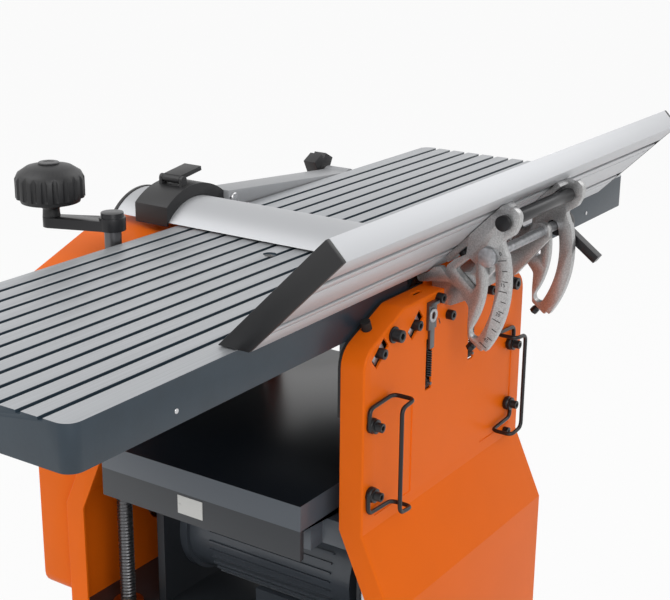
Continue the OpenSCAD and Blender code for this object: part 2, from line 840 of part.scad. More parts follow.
// Least distance between wire surfaces of different curls.
function least_gap(line) =
    min([for (i = [0 : len(line) - 1], j = [i + 5 : 1 : len(line) - 1])
         norm(line[i] - line[j])]) - spring_wire;
echo(spring_gap = least_gap(spring_line()));

module spring_at(x, z) {
    translate([x, panel_out - 1, z])
        tube(spring_line(), spring_wire / 2, 6);
}

module panel_springs() {
    color([0.15, 0.15, 0.15]) {
        spring_at(near_spring_x, near_spring_z);
        spring_at(far_spring_x, far_spring_z);
    }
}

// Thicknessing table and its lift

carriage_drop = 34;
ear_h = 28;

apron_t = 6;
apron_h = 58;

module thicknessing_table() {
    color([0.1, 0.12, 0.16])
    difference() {
        union() {
            box(-bed_half, bed_half, -bed_y, bed_y, bed_z - bed_h, bed_z);
            for (x = [-bed_half, bed_half - apron_t])
                box(x, x + apron_t, -bed_y, bed_y, bed_z - apron_h, bed_z - bed_h + 1);
        }
        box(-bed_half + apron_t, bed_half - apron_t, -bed_y + 6, bed_y - 6, bed_z - bed_h - 1, bed_z - 10);
    }
}

module lift_carriage() {
    low = bed_z - bed_h - carriage_drop;
    color([0.2, 0.22, 0.25])
    difference() {
        union() {
            difference() {
                box(-column_x - 40, column_x + 40, -bed_y + 8, bed_y - 8, low, bed_z - 10);
                box(-column_x - 34, column_x + 34, -bed_y + 14, bed_y - 14, low - 1, bed_z - 18);
            }
            for (x = [-1, 1])
                box(x > 0 ? column_x - 20 : -column_x - 20, x > 0 ? column_x + 20 : -column_x + 20,
                    -column_y, column_y, low, low + ear_h);
            for (x = [-1, 1], y = [-1, 1])
                bar_z(column_d + 5, low, low + ear_h, x * column_x, y * column_y);
        }
        for (x = [-1, 1])
            box(x > 0 ? column_x - 14 : -column_x - 14, x > 0 ? column_x + 14 : -column_x + 14,
                -bed_y + 14, bed_y - 14, low - 1, low + ear_h + 1);
        for (x = [-1, 1], y = [-1, 1])
            bar_z(x * y < 0 ? screw_d + 4 : column_d + 2 * fit, low - 1, low + ear_h + 1,
                  x * column_x, y * column_y);
    }
}

// Nuts in two ears of the carriage.
module lift_nuts() {
    low = bed_z - bed_h - carriage_drop;
    color("peru")
    for (s = [-1, 1])
        difference() {
            union() {
                bar_z(screw_d + 4, low, low + ear_h, s * column_x, -s * column_y);
                bar_z(screw_d + 6, low - 4, low, s * column_x, -s * column_y);
            }
            bar_z(screw_d + 2 * fit, low - 5, low + ear_h + 1, s * column_x, -s * column_y);
        }
}

module lift_columns() {
    color("silver")
    for (s = [-1, 1])
        bar_z(column_d, body_z, bearing_plate_z + bearing_plate_t, s * column_x, s * column_y);
}

sprocket_z = body_z - 15;

module lift_sprocket(x, y) {
    translate([x, y, sprocket_z])
        difference() {
            cylinder(d = lift_sprocket_d, h = sprocket_t);
            for (a = [0 : 24 : 359])
                rotate(a)
                    translate([lift_sprocket_d / 2 + 1, 0, -1])
                        cylinder(d = 6, h = sprocket_t + 2, $fn = 16);
        }
}

arm_z = table_z + arm_rise;
hub_t = 14;

// Lead screw under the crank, with its sprocket below the pan.
module lead_screw() {
    color([0.12, 0.12, 0.13]) {
        bar_z(screw_d, sprocket_z - 3, arm_z, column_x, -column_y);
        lift_sprocket(column_x, -column_y);
    }
}

module idle_screw() {
    color([0.3, 0.3, 0.32]) {
        bar_z(screw_d, sprocket_z - 3, bearing_plate_z + bearing_plate_t + 6, -column_x, column_y);
        lift_sprocket(-column_x, column_y);
    }
}

module lift_loop(r) {
    hull()
        for (s = [-1, 1])
            translate([s * column_x, -s * column_y])
                circle(r, $fn = 32);
}

// Flanged bushes that carry the screws in the pan and in the bearing plates.
module screw_bushes() {
    color("peru")
    for (s = [-1, 1])
        difference() {
            union() {
                bar_z(screw_d + 8, body_z, base_top, s * column_x, -s * column_y);
                bar_z(screw_d + 16, base_top, base_top + 6, s * column_x, -s * column_y);
                bar_z(screw_d + 6, bearing_plate_z, bearing_plate_z + bearing_plate_t,
                      s * column_x, -s * column_y);
                bar_z(screw_d + 7, bearing_plate_z + bearing_plate_t, bearing_plate_z + bearing_plate_t + 5,
                      s * column_x, -s * column_y);
            }
            bar_z(screw_d + 2 * fit, body_z - 1, bearing_plate_z + 30, s * column_x, -s * column_y);
        }
}

// Crank

arm_tip = [column_x + arm_len * cos(arm_angle), -column_y + arm_len * sin(arm_angle)];
knob_pin_d = 8;
knob_low = arm_z + 11.3;

module crank_arm() {
    color([0.12, 0.12, 0.13]) {
        hull() {
            bar_z(24, arm_z, arm_z + 11, column_x, -column_y);
            bar_z(19, arm_z, arm_z + 11, arm_tip[0], arm_tip[1]);
        }
        bar_z(28, arm_z, arm_z + hub_t, column_x, -column_y);
        bar_z(24, arm_z + hub_t, arm_z + hub_t + 5, column_x, -column_y);
        bar_z(knob_pin_d, arm_z, arm_z + 50, arm_tip[0], arm_tip[1]);
    }
}

module crank_knob() {
    color([0.12, 0.12, 0.13])
    translate([arm_tip[0], arm_tip[1], knob_low])
        difference() {
            rotate_extrude()
                polygon([[0, 0], [9.4, 0], [8.8, 8], [12, 12], [31, 16], [31.5, 20], [knob_d / 2, 21],
                         [knob_d / 2, 41], [knob_d / 2 - 3, 47], [24, 53], [10, 56], [0, 56.5]]);
            for (a = [0 : 360 / flutes : 359])
                rotate(a)
                    translate([knob_d / 2 + 1.5, 0, 20])
                        cylinder(d = 7, h = 40, $fn = 16);
            translate([0, 0, -1])
                cylinder(d = knob_pin_d + 2 * fit, h = 41);
        }
}

// Feed rollers, gearbox and chain

module sprocket_y(d, x, y, z) {
    difference() {
        bar_y(d, y - sprocket_t / 2, y + sprocket_t / 2, x, z);
        for (a = [0 : 20 : 359])
            translate([x, y, z])
                rotate([0, a, 0])
                    translate([d / 2 + 0.8, 0, 0])
                        rotate([90, 0, 0])
                            cylinder(d = 5, h = sprocket_t + 2, center = true, $fn = 16);
    }
}

module feed_roller(x, chain_y) {
    color("dimgray") {
        difference() {
            bar_y(roller_d, -bed_y, bed_y, x, roller_z);
            for (a = [0 : 15 : 359])
                translate([x, 0, roller_z])
                    rotate([0, a, 0])
                        translate([roller_d / 2, 0, 0])
                            cube([1.6, 2 * bed_y + 2, 1.6], center = true);
        }
        bar_y(roller_shaft_d, bed_y, frame_out, x, roller_z);
        bar_y(roller_shaft_d, chain_y - 4, -bed_y, x, roller_z);
        sprocket_y(feed_sprocket_d, x, chain_y, roller_z);
    }
}

module near_roller() {
    feed_roller(roller_x, feed_y);
}

module far_roller() {
    feed_roller(-roller_x, far_feed_y);
}

gear_pulley_d = 70;

input_shaft_d = 12;
output_shaft_d = 20;

module gearbox() {
    color("gray")
    difference() {
        union() {
            box(-36, 36, -panel_out + 5, -frame_out, gearbox_z - 26, gearbox_z + 26);
            bar_y(44, -panel_out - 2, -panel_out + 5, 0, gearbox_z);
        }
        bar_y(output_shaft_d + 2 * fit, -panel_out - 3, -frame_out - 10, 0, gearbox_z);
    }
}

// Fast shaft of the gearbox with its belt pulley.
module gearbox_input() {
    color("dimgray") {
        bar_y(input_shaft_d, gear_belt_y - 8, -frame_out - 12, 0, gearbox_z);
        pulley(gear_pulley_d, 8, input_shaft_d, 0, gear_belt_y, gearbox_z);
    }
}

// Slow hollow shaft of the gearbox with two sprockets.
module gearbox_output() {
    color("dimgray")
    difference() {
        union() {
            bar_y(output_shaft_d, far_feed_y - sprocket_t / 2, -frame_out - 12, 0, gearbox_z);
            sprocket_y(gear_sprocket_d, 0, feed_y, gearbox_z);
            sprocket_y(gear_sprocket_d, 0, far_feed_y, gearbox_z);
        }
        bar_y(input_shaft_d + 2 * fit, far_feed_y - 10, -frame_out, 0, gearbox_z);
    }
}

// A loop round circles [x, z, radius], grown by r, from y0 to y1.
module loop_y(circles, r, y0, y1) {
    translate([0, y1, 0])
        rotate([90, 0, 0])
            linear_extrude(y1 - y0)
                hull()
                    for (c = circles)
                        translate([c[0], c[1]])
                            circle(c[2] + r, $fn = 32);
}

module loop_band(circles, t, y0, y1) {
    difference() {
        loop_y(circles, t + 0.6, y0, y1);
        loop_y(circles, 0.6, y0 - 1, y1 + 1);
    }
}

// The lift chain under the pan and the two feed chains inside the drive cover.
module drive_chains() {
    chain_t = 5;
    color([0.15, 0.15, 0.15]) {
        translate([0, 0, sprocket_z + 1])
            linear_extrude(sprocket_t - 2)
                difference() {
                    lift_loop(lift_sprocket_d / 2 + 0.6 + chain_t);
                    lift_loop(lift_sprocket_d / 2 + 0.6);
                }
        loop_band([[roller_x, roller_z, feed_sprocket_d / 2], [0, gearbox_z, gear_sprocket_d / 2]], chain_t,
                  feed_y - 2, feed_y + 2);
        loop_band([[-roller_x, roller_z, feed_sprocket_d / 2], [0, gearbox_z, gear_sprocket_d / 2]], chain_t,
                  far_feed_y - 2, far_feed_y + 2);
    }
}

finger_rod_z = table_z - 32;
finger_rod_x = -(column_x + 9) + 18;

module kickback_rod() {
    color("silver")
    bar_y(8, -frame_out, frame_out, finger_rod_x, finger_rod_z);
}

module kickback_fingers() {
    pitch = (2 * frame_in - 4) / fingers;
    color("gray")
    for (i = [0 : fingers - 1])
        translate([finger_rod_x, -frame_in + 2 + pitch * (i + 0.5) - finger_t / 2, finger_rod_z])
            difference() {
                union() {
                    bar_y(15, 0, finger_t, 0, 0);
                    plate_y([[-7, 0], [-9, -finger_len + 4], [-1, -finger_len], [6, -finger_len + 8], [7, 0]],
                            0, finger_t);
                }
                bar_y(8 + 2 * fit, -1, finger_t + 1, 0, 0);
            }
}

// Motor and main belt

module motor() {
    color([0.25, 0.27, 0.3])
    difference() {
        union() {
            bar_y(motor_d, -frame_in + 10, frame_in - 30, 0, motor_z);
            bar_y(motor_d + 10, -frame_in, -frame_in + 10, 0, motor_z);
            box(-40, 40, -40, 40, base_top, motor_z - motor_d / 2 + 6);
        }
        bar_y(19 + 2 * fit, -frame_in - 1, 0, 0, motor_z);
    }
}

module motor_shaft() {
    color("silver") {
        bar_y(19, belt_y - belt_w / 2 - 4, -1, 0, motor_z);
        pulley(motor_pulley_d, belt_w + 2, 19, 0, belt_y, motor_z);
    }
}

module drive_belts() {
    color([0.08, 0.08, 0.08]) {
        loop_band([[0, motor_z, motor_pulley_d / 2], [0, cutter_z, cutter_pulley_d / 2]], belt_t,
                  belt_y - belt_w / 2, belt_y + belt_w / 2);
        loop_band([[0, gearbox_z, gear_pulley_d / 2], [0, cutter_z, 13]], 3,
                  gear_belt_y - 3, gear_belt_y + 3);
    }
}

// Fence. Its pieces are drawn upright, with the working edge at the origin, and then tilted back.

pivot_y = half_w - 18.3;
pivot_z = outfeed_z + gap;

module tilted() {
    translate([0, pivot_y, pivot_z])
        rotate([-fence_tilt, 0, 0])
            children();
}

bevel = fence_t;
slot_u = [60, 122];
tee_open = 8;
tee_w = 15;
tee_in = 10;
fence_x0 = fence_mid - fence_len / 2;
fence_x1 = fence_mid + fence_len / 2;

module fence_profile() {
    wall = 2.5;
    color("silver")
    tilted()
        translate([fence_x0, 0, 0])
            rotate([90, 0, 90])
                linear_extrude(fence_len)
                    difference() {
                        polygon([[0, 0], [bevel, bevel], [fence_t, fence_h], [0, fence_h]]);
                        for (u = slot_u) {
                            translate([fence_t - 3, u - tee_open / 2])
                                square([4, tee_open]);
                            translate([fence_t - tee_in, u - tee_w / 2])
                                square([tee_in - wall, tee_w]);
                        }
                        for (u = [47, 106])
                            translate([fence_t - 1, u])
                                square([2, 1.5]);
                        polygon([[wall, wall * 2.6], [fence_t - wall, fence_t + wall / 2],
                                 [fence_t - wall, 46],
                                 [fence_t - tee_in - wall, 50], [wall, 50]]);
                        translate([wall, 55])
                            square([fence_t - tee_in - 2 * wall, 65]);
                        translate([wall, 72])
                            square([fence_t - 2 * wall, 31]);
                        translate([wall, 133])
                            square([fence_t - 2 * wall, fence_h - 133 - wall]);
                    }
}

cap_t = 5;

module fence_caps() {
    color([0.2, 0.2, 0.21])
    tilted()
        for (x = [fence_x0 - cap_t, fence_x1])
            plate_x([[0, 0.6], [bevel, bevel + 0.6], [fence_t, fence_h], [0, fence_h]], x, x + cap_t);
}

slot_high = rod_angle + 0.6;
slot_low = rod_angle - fence_tilt - 0.4;
band_r = slot_r + 20;

tip_angle = slot_low - 5.5;

// The quadrant's outline in Y and Z, seen with the fence tilted back, from the working edge.
quadrant_outline = concat(
    rounded([[119, 79, 3], [129.5, 71, 8], [129, 60, 8], [124, 50, 5], [112.5, 42, 3], [116.5, 31.5, 0]], 4),
    arc(band_r, 14, tip_angle + 2, 14),
    rounded([[band_r * cos(tip_angle), band_r * sin(tip_angle), 2],
             [100 * cos(tip_angle), 100 * sin(tip_angle), 3],
             [79.5, -45, 6], [80, -27, 8], [70, -15.5, 8], [59, -6, 8], [40, -9, 6],
             [24, -12, 4], [20, -6, 3], [33, -1.5, 0], [40, 5.5, 0], [47.5, 7, 3], [52.5, 1.5, 1],
             [55, 10, 3],
             [62.5, 17, 3], [75, 24, 0]], 4),
    [[77.4, 43.6], [110.6, 76.8]]);

quadrant_window = rounded([[64, 7.5, 2], [78.5, 21, 2], [86, 16, 3], [87, -6, 3], [83, -9.5, 2]], 4);

module quadrant_blank() {
    difference() {
        polygon(quadrant_outline);
        polygon(quadrant_window);
        clamp_slot();
    }
}

// Points of the round end of the slot at angle a, turning from one edge to the other.
function slot_end(a, from) =
    [for (i = [1 : 7]) slot_r * turned([1, 0], a) + slot_w / 2 * turned([1, 0], a + from + i * 22.5)];

// The clamping slot: an arc round the working edge with round ends.
module clamp_slot() {
    polygon(concat(arc(slot_r + slot_w / 2, slot_low, slot_high, 24), slot_end(slot_high, 0),
                   arc(slot_r - slot_w / 2, slot_high, slot_low, 24), slot_end(slot_low, 180)));
}

lug = [114.2, 61.1];

foot_half = 9;
near_foot_x = near_x - quadrant_t / 2 - foot_half;
far_foot_x = far_x + quadrant_t / 2 + foot_half;
slot_screw_d = 6;
foot_t = 6;

module quadrant_plate(x) {
    translate([x - quadrant_t / 2, pivot_y, pivot_z])
        rotate([90, 0, 90])
            linear_extrude(quadrant_t)
                difference() {
                    quadrant_blank();
                    translate(lug)
                        circle(d = 8);
                }
}

// Foot that bears on the back of the fence, upright, its plate on the given side.
module quadrant_foot(x, side) {
    tilted()
        difference() {
            box(x - foot_half - (side < 0 ? 1 : 0), x + foot_half + (side > 0 ? 1 : 0),
                fence_t + gap, fence_t + foot_t, 44, 131);
            for (u = slot_u)
                bar_y(slot_screw_d, fence_t - 1, fence_t + foot_t + 1, x, u);
        }
}

module near_quadrant() {
    color("darkgray") {
        quadrant_plate(near_x);
        quadrant_foot(near_foot_x, 1);
    }
}

module far_quadrant() {
    color("darkgray") {
        quadrant_plate(far_x);
        quadrant_foot(far_foot_x, -1);
    }
}

// Stop screw at the lower tip of a quadrant.
module stop_screw(x) {
    translate([x, pivot_y, pivot_z])
        rotate([tip_angle, 0, 0])
            translate([0, 107, 0])
                rotate([180, 0, 0]) {
                    cylinder(d = 6, h = 6);
                    translate([0, 0, 4])
                        cylinder(d = 9, h = 5, $fn = 6);
                }
}

// Tie bar, slot screws, slot nuts and stop screws of the quadrants.
module quadrant_fittings() {
    y = pivot_y + lug[0];
    z = pivot_z + lug[1];
    color([0.15, 0.15, 0.15]) {
        bar_x(8, far_x - quadrant_t / 2 - 2, near_x + quadrant_t / 2, y, z);
        bar_x(14, far_x + quadrant_t / 2, near_x - quadrant_t / 2, y, z);
        bar_x(15, near_x + quadrant_t / 2, near_x + quadrant_t / 2 + 5, y, z);
        for (x = [near_foot_x, far_foot_x])
            tilted()
                for (u = slot_u) {
                    bar_y(slot_screw_d, fence_t - 8, fence_t + foot_t, x, u);
                    bar_y(11, fence_t + foot_t, fence_t + foot_t + 5, x, u);
                    box(x - 8, x + 8, fence_t - tee_in + gap, fence_t - 3.1,
                        u - tee_w / 2 + gap, u + tee_w / 2 - gap);
                }
        stop_screw(near_x);
        stop_screw(far_x);
    }
}

// Middle of the clamping rod, in the slots of the quadrants.
rod_y = pivot_y + slot_r * cos(rod_angle);
rod_z = pivot_z + slot_r * sin(rod_angle);

module fence_carrier() {
    web_t = 8;
    far_web = far_x + 23;
    near_web = near_x - quadrant_t / 2 - 1;
    color([0.35, 0.36, 0.38])
    difference() {
        union() {
            box(far_web, near_web, panel_in + 12, panel_out + 8, panel_top, panel_top + 8);
            box(far_web, near_web, panel_out, panel_out + 8, panel_top - 16, panel_top);
            for (x = [near_web - web_t, far_web])
                plate_x(rounded([[panel_in + 12, panel_top, 0], [panel_out, panel_top, 0],
                                 [panel_out, panel_top - 16, 0], [panel_out + 8, panel_top - 16, 3],
                                 [panel_out + 24, panel_top - 8, 6], [rod_y + 9, rod_z - 6, 6],
                                 [rod_y + 8, rod_z + 9, 8],
                                 [rod_y - 8, rod_z + 9, 8], [rod_y - 22, panel_top + 22, 6],
                                 [panel_in + 12, panel_top + 8, 0]], 4), x, x + web_t);
        }
        bar_x(rod_d, far_web - 1, near_web + 1, rod_y, rod_z);
    }
}

lever_x = far_x - quadrant_t / 2 - 2;

// Clamping rod with its round head in front of the near quadrant.
module tilt_rod() {
    color("silver") {
        bar_x(rod_d, lever_x - 18, near_x + quadrant_t / 2 + 1, rod_y, rod_z);
        bar_x(19, near_x + quadrant_t / 2 + gap, near_x + quadrant_t / 2 + 4, rod_y, rod_z);
    }
}

lever_len = 54;
lever_angle = -36;

module tilt_lever() {
    color([0.12, 0.12, 0.13])
    difference() {
        union() {
            bar_x(24, lever_x - 18, lever_x, rod_y, rod_z);
            translate([lever_x - 9, rod_y, rod_z])
                rotate([lever_angle, 0, 0])
                    translate([-5, 8, -5])
                        cube([10, lever_len - 8, 9]);
        }
        bar_x(rod_d + 2 * fit, lever_x - 19, lever_x + 1, rod_y, rod_z);
    }
}

// Cutter guard

guard_r = (guard_w * guard_w / 4 + guard_rise * guard_rise) / (2 * guard_rise);
guard_x = -12.5;
guard_edge_z = outfeed_z + 1.2;
guard_z = guard_edge_z + guard_rise - guard_r;
guard_y1 = pivot_y - 0.7;
guard_y0 = guard_y1 - guard_len;

// The guard's arch between two radii, cut at its edges.
module guard_arch(r0, r1, half, y0, y1) {
    intersection() {
        difference() {
            bar_y(2 * r1, y0, y1, guard_x, guard_z);
            bar_y(2 * r0, y0 - 1, y1 + 1, guard_x, guard_z);
        }
        box(guard_x - half, guard_x + half, y0, y1, guard_edge_z, guard_edge_z + 60);
    }
}

module guard_plate() {
    color("silver")
    guard_arch(guard_r - guard_t, guard_r, guard_w / 2, guard_y0, guard_y1);
    color([0.08, 0.08, 0.08])
    guard_arch(guard_r - guard_t - 1, guard_r + 1, guard_w / 2 + 1, guard_y0 - 4, guard_y0);
}

clamp_y0 = -half_w - 56;
clamp_y1 = clamp_y0 + clamp_w;
clamp_low = guard_edge_z - 4;
clamp_top = guard_edge_z + 36;
clamp_far = guard_x - guard_w / 2 - 1.5;
clamp_near = guard_x + guard_w / 2 + 2.5;

// Clamp housing that the guard plate slides through, with the hinge of its lever.
module guard_clamp() {
    color([0.17, 0.17, 0.18])
    clamp_hinge();
    color([0.17, 0.17, 0.18])
    difference() {
        intersection() {
            bar_y(2 * (guard_r + 16), clamp_y0, clamp_y1, guard_x, guard_z - 2);
            plate_y([[clamp_far, clamp_low + 12], [clamp_far + 30, clamp_low], [clamp_near, clamp_low],
                     [clamp_near, clamp_top], [clamp_far, clamp_top]], clamp_y0, clamp_y1);
        }
        intersection() {
            bar_y(2 * (guard_r + gap), clamp_y0 - 1, clamp_y1 + 1, guard_x, guard_z);
            box(guard_x - guard_w / 2 - gap, guard_x + guard_w / 2 + gap, clamp_y0 - 1, clamp_y1 + 1,
                clamp_low - 1, clamp_top);
        }
    }
}

hinge_x = guard_x + 12;
hinge_z = clamp_top + 4;
hinge_y0 = (clamp_y0 + clamp_y1) / 2 - 12;
hinge_y1 = hinge_y0 + 24;
hinge_pin_d = 4;

// Ears and pin of the clamp lever.
module clamp_hinge() {
    for (y = [hinge_y0 - 4.4, hinge_y1 + 0.4]) {
        bar_y(9, y, y + 4, hinge_x, hinge_z);
        box(hinge_x - 4.5, hinge_x + 4.5, y, y + 4, clamp_top - 8, hinge_z);
    }
    bar_y(hinge_pin_d, hinge_y0 - 4, hinge_y1 + 4, hinge_x, hinge_z);
}

module clamp_lever() {
    color([0.13, 0.13, 0.14])
    translate([hinge_x, 0, hinge_z])
        rotate([0, 8, 0])
            difference() {
                union() {
                    bar_y(9, hinge_y0, hinge_y1, 0, 0);
                    box(-36, 0, hinge_y0, hinge_y1, 0, 5);
                }
                bar_y(hinge_pin_d + 2 * fit, hinge_y0 - 1, hinge_y1 + 1, 0, 0);
            }
}

guard_pivot_z = table_z - 11;
arm_y0 = -half_w - 36.5;
arm_y1 = arm_y0 + guard_arm_w;
pivot_pin_d = 12;
arm_near_x = clamp_far;
arm_near_z = guard_edge_z + 10;

// Guard arm, one bar from the clamp to its pivot at the side of the outfeed table.
module guard_arm() {
    run = [arm_near_x + guard_pivot_x, arm_near_z - guard_pivot_z];
    slope = atan2(run[1], run[0]);
    side = guard_arm_h / 2 * turned([0, 1], slope);
    end_side = [0, guard_arm_h / 2 / cos(slope)];
    boss_r = guard_arm_h / 2 + 4;
    color("silver")
    translate([-guard_pivot_x, arm_y1, guard_pivot_z])
        rotate([90, 0, 0])
            linear_extrude(arm_y1 - arm_y0)
                difference() {
                    polygon(concat(arc(boss_r, slope + 46, slope + 314, 24),
                                   [18 * turned([1, 0], slope) - side, run - end_side, run + end_side,
                                    18 * turned([1, 0], slope) + side]));
                    circle(d = pivot_pin_d + 2 * fit);
                }
}

// Bracket on the outfeed table's side with the pivot pin of the guard arm.
module guard_pivot() {
    color([0.3, 0.31, 0.33]) {
        box(-guard_pivot_x - 26, -guard_pivot_x + 26, arm_y1 + gap, -half_w,
            outfeed_z - skirt_h + 4, outfeed_z - 4);
        bar_y(pivot_pin_d, arm_y0 - 20, arm_y1 + 1, -guard_pivot_x, guard_pivot_z);
    }
}

// Lobed knob that locks the guard arm.
module guard_knob() {
    color([0.12, 0.12, 0.13])
    difference() {
        union() {
            bar_y(24, arm_y0 - 24, arm_y0 - gap, -guard_pivot_x, guard_pivot_z);
            for (a = [-1, 1])
                translate([-guard_pivot_x, arm_y0 - 24, guard_pivot_z])
                    rotate([0, a * 28, 0])
                        box(-9, 9, 0, 18, 4, 27);
        }
        bar_y(pivot_pin_d + 2 * fit, arm_y0 - 21, arm_y0 + 1, -guard_pivot_x, guard_pivot_z);
    }
}

switch_y = -cover_out - 34;
switch_x = [-80, 20];
switch_z = [table_z - 260, table_z - 160];
start_x = -52;
stop_x = -10;
button_z = table_z - 205;
button_d = 22;
button_travel = 3;

// Switch box on the drive cover, with its cable gland below.
module switch_box() {
    gland_x = -60;
    gland_y = switch_y + 17;
    color([0.15, 0.15, 0.16])
    difference() {
        union() {
            difference() {
                box(switch_x[0], switch_x[1], switch_y, -cover_out, switch_z[0], switch_z[1]);
                box(switch_x[0] + 3, switch_x[1] - 3, switch_y + 3, -cover_out + 1,
                    switch_z[0] + 3, switch_z[1] - 3);
            }
            for (x = [start_x, stop_x])
                bar_y(button_d + 7, switch_y + 1, switch_y + 14, x, button_z);
            bar_z(24, switch_z[0] - 5, switch_z[0], gland_x, gland_y);
            bar_z(18, switch_z[0] - 16, switch_z[0] - 5, gland_x, gland_y);
        }
        for (x = [start_x, stop_x])
            bar_y(button_d + 1, switch_y - 1, switch_y + 11, x, button_z);
        bar_z(9, switch_z[0] - 17, switch_z[0] + 4, gland_x, gland_y);
    }
}

module start_button() {
    color([0.1, 0.55, 0.2])
    bar_y(button_d, switch_y - 5, switch_y + 7, start_x, button_z);
}

// Stop button with its mushroom head.
module stop_button() {
    color([0.75, 0.08, 0.06]) {
        bar_y(button_d, switch_y - 8, switch_y + 7, stop_x, button_z);
        bar_y(button_d + 14, switch_y - 16, switch_y - 6, stop_x, button_z);
    }
}

// Stand

leg_top = [panel_half - sheet_t, foot_out - sheet_t];
leg_foot = [foot_x / 2 + 20, foot_y / 2 + 20];
leg_low = foot_h + leg_t;
leg_drop = body_z - leg_low;
splay_x = atan2(leg_foot[0] - leg_top[0], leg_drop);
splay_y = atan2(leg_foot[1] - leg_top[1], leg_drop);

// One leg in the +X +Y corner.
module leg() {
    intersection() {
        translate([leg_top[0], leg_top[1], body_z])
            rotate([splay_y, -splay_x, 0])
                translate([0, 0, -leg_drop * 1.2])
                    difference() {
                        translate([-leg_w, -leg_w, 0])
                            cube([leg_w, leg_w, leg_drop * 1.4]);
                        translate([-leg_w - 1, -leg_w - 1, -1])
                            cube([leg_w + 1 - leg_t, leg_w + 1 - leg_t, leg_drop * 1.5]);
                    }
        box(0, foot_x, 0, foot_y, leg_low, body_z);
    }
}

// Half distance between the outer faces of the legs at height z, along X and Y.
function leg_at(z) = leg_top + (leg_foot - leg_top) * (body_z - z) / leg_drop;
rail_h = 40;

// Flat rail between two legs, along X on the +Y side, leaning with the legs.
module rail(len, out, lean) {
    translate([0, out, rail_z])
        rotate([lean, 0, 0])
            translate([-len, -leg_t - 2.5, -rail_h / 2])
                cube([2 * len, 3, rail_h]);
}

module stand() {
    out = leg_at(rail_z);
    color([0.2, 0.22, 0.25]) {
        for (x = [0, 1], y = [0, 1])
            mirror([x, 0, 0])
                mirror([0, y, 0]) {
                    leg();
                    difference() {
                        box(foot_x / 2 - 30, foot_x / 2 + 30, foot_y / 2 - 30, foot_y / 2 + 30,
                            foot_h, leg_low);
                        bar_z(foot_hole_d, foot_h - 1, leg_low + 1, foot_x / 2, foot_y / 2);
                    }
                }
        for (a = [0, 180])
            rotate(a) {
                rail(out[0] - 8, out[1], splay_y);
                rotate(90)
                    rail(out[1] - 8, out[0], splay_x);
            }
    }
}

module rubber_feet() {
    color([0.05, 0.05, 0.05])
    for (x = [-1, 1], y = [-1, 1])
        difference() {
            bar_z(48, 0, foot_h, x * foot_x / 2, y * foot_y / 2);
            bar_z(foot_hole_d, -1, foot_h + 1, x * foot_x / 2, y * foot_y / 2);
        }
}

infeed_table();
outfeed_table();
depth_slot_plates();
depth_screw_knob();
depth_bracket();
cutterblock();
knives_set();
gib_bars();
bearing_set();
cutter_pulley();
side_frames();
bearing_plates();
base_pan();
right_panel();
left_panel();
drive_cover();
edge_seals();
panel_screws();
wire_hooks();
latch_bracket();
panel_springs();
thicknessing_table();
lift_carriage();
lift_nuts();
lift_columns();
lead_screw();
idle_screw();
drive_chains();
screw_bushes();
crank_arm();
crank_knob();
near_roller();
far_roller();
gearbox();
gearbox_input();
gearbox_output();
kickback_fingers();
kickback_rod();
motor();
motor_shaft();
drive_belts();
fence_profile();
fence_caps();
near_quadrant();
far_quadrant();
quadrant_fittings();
fence_carrier();
tilt_rod();
tilt_lever();
guard_plate();
guard_clamp();
clamp_lever();
guard_arm();
guard_pivot();
guard_knob();
switch_box();
start_button();
stop_button();
stand();
rubber_feet();
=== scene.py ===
"""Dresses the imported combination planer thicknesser: finished pieces, materials and a pale studio.

Lengths written as plain numbers are millimetres in the part's own frame, and become metres through mm().
+X is the infeed end, -Y the operator's side, +Z up, with the floor at Z 0.
"""

import json
import math
import bmesh
import bpy
from bpy.props import FloatProperty, FloatVectorProperty, IntProperty, PointerProperty
from mathutils import Matrix, Vector


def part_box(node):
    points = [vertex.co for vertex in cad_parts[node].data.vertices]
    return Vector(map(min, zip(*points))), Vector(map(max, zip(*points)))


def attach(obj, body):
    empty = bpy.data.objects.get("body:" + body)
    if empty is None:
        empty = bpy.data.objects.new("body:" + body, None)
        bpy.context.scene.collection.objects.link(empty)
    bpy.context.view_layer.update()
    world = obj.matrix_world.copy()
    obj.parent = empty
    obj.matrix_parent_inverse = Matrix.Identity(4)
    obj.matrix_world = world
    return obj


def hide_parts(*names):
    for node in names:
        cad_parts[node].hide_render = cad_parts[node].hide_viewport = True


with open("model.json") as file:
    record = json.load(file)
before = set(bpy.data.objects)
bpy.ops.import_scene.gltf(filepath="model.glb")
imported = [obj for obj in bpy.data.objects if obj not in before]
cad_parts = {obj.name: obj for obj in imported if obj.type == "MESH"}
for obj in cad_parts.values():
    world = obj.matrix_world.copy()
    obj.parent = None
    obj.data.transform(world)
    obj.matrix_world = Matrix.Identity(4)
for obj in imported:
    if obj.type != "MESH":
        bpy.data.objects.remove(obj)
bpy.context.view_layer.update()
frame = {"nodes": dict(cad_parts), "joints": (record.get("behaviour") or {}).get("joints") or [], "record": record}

bl_info = {
    "name": "Combination planer thicknesser",
    "version": (1, 0, 0),
    "blender": (4, 5, 0),
    "location": "View3D > Sidebar > Planer",
    "description": "Finished pieces, materials and studio for a packed planer thicknesser",
    "category": "Object",
}


def mm(*values):
    """Millimetres as metres: one number, or several as a Vector."""
    if len(values) == 1:
        return values[0] * 0.001
    return Vector([v * 0.001 for v in values])


def corners(node):
    """The lowest and highest corners of a solid, in millimetres."""
    return [corner * 1000 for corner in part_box(node)]


def pivot(name):
    """A point on the axis of a hinge, in millimetres."""
    return next(Vector(joint["pos_m"]) * 1000 for joint in frame["joints"] if joint["name"] == name)


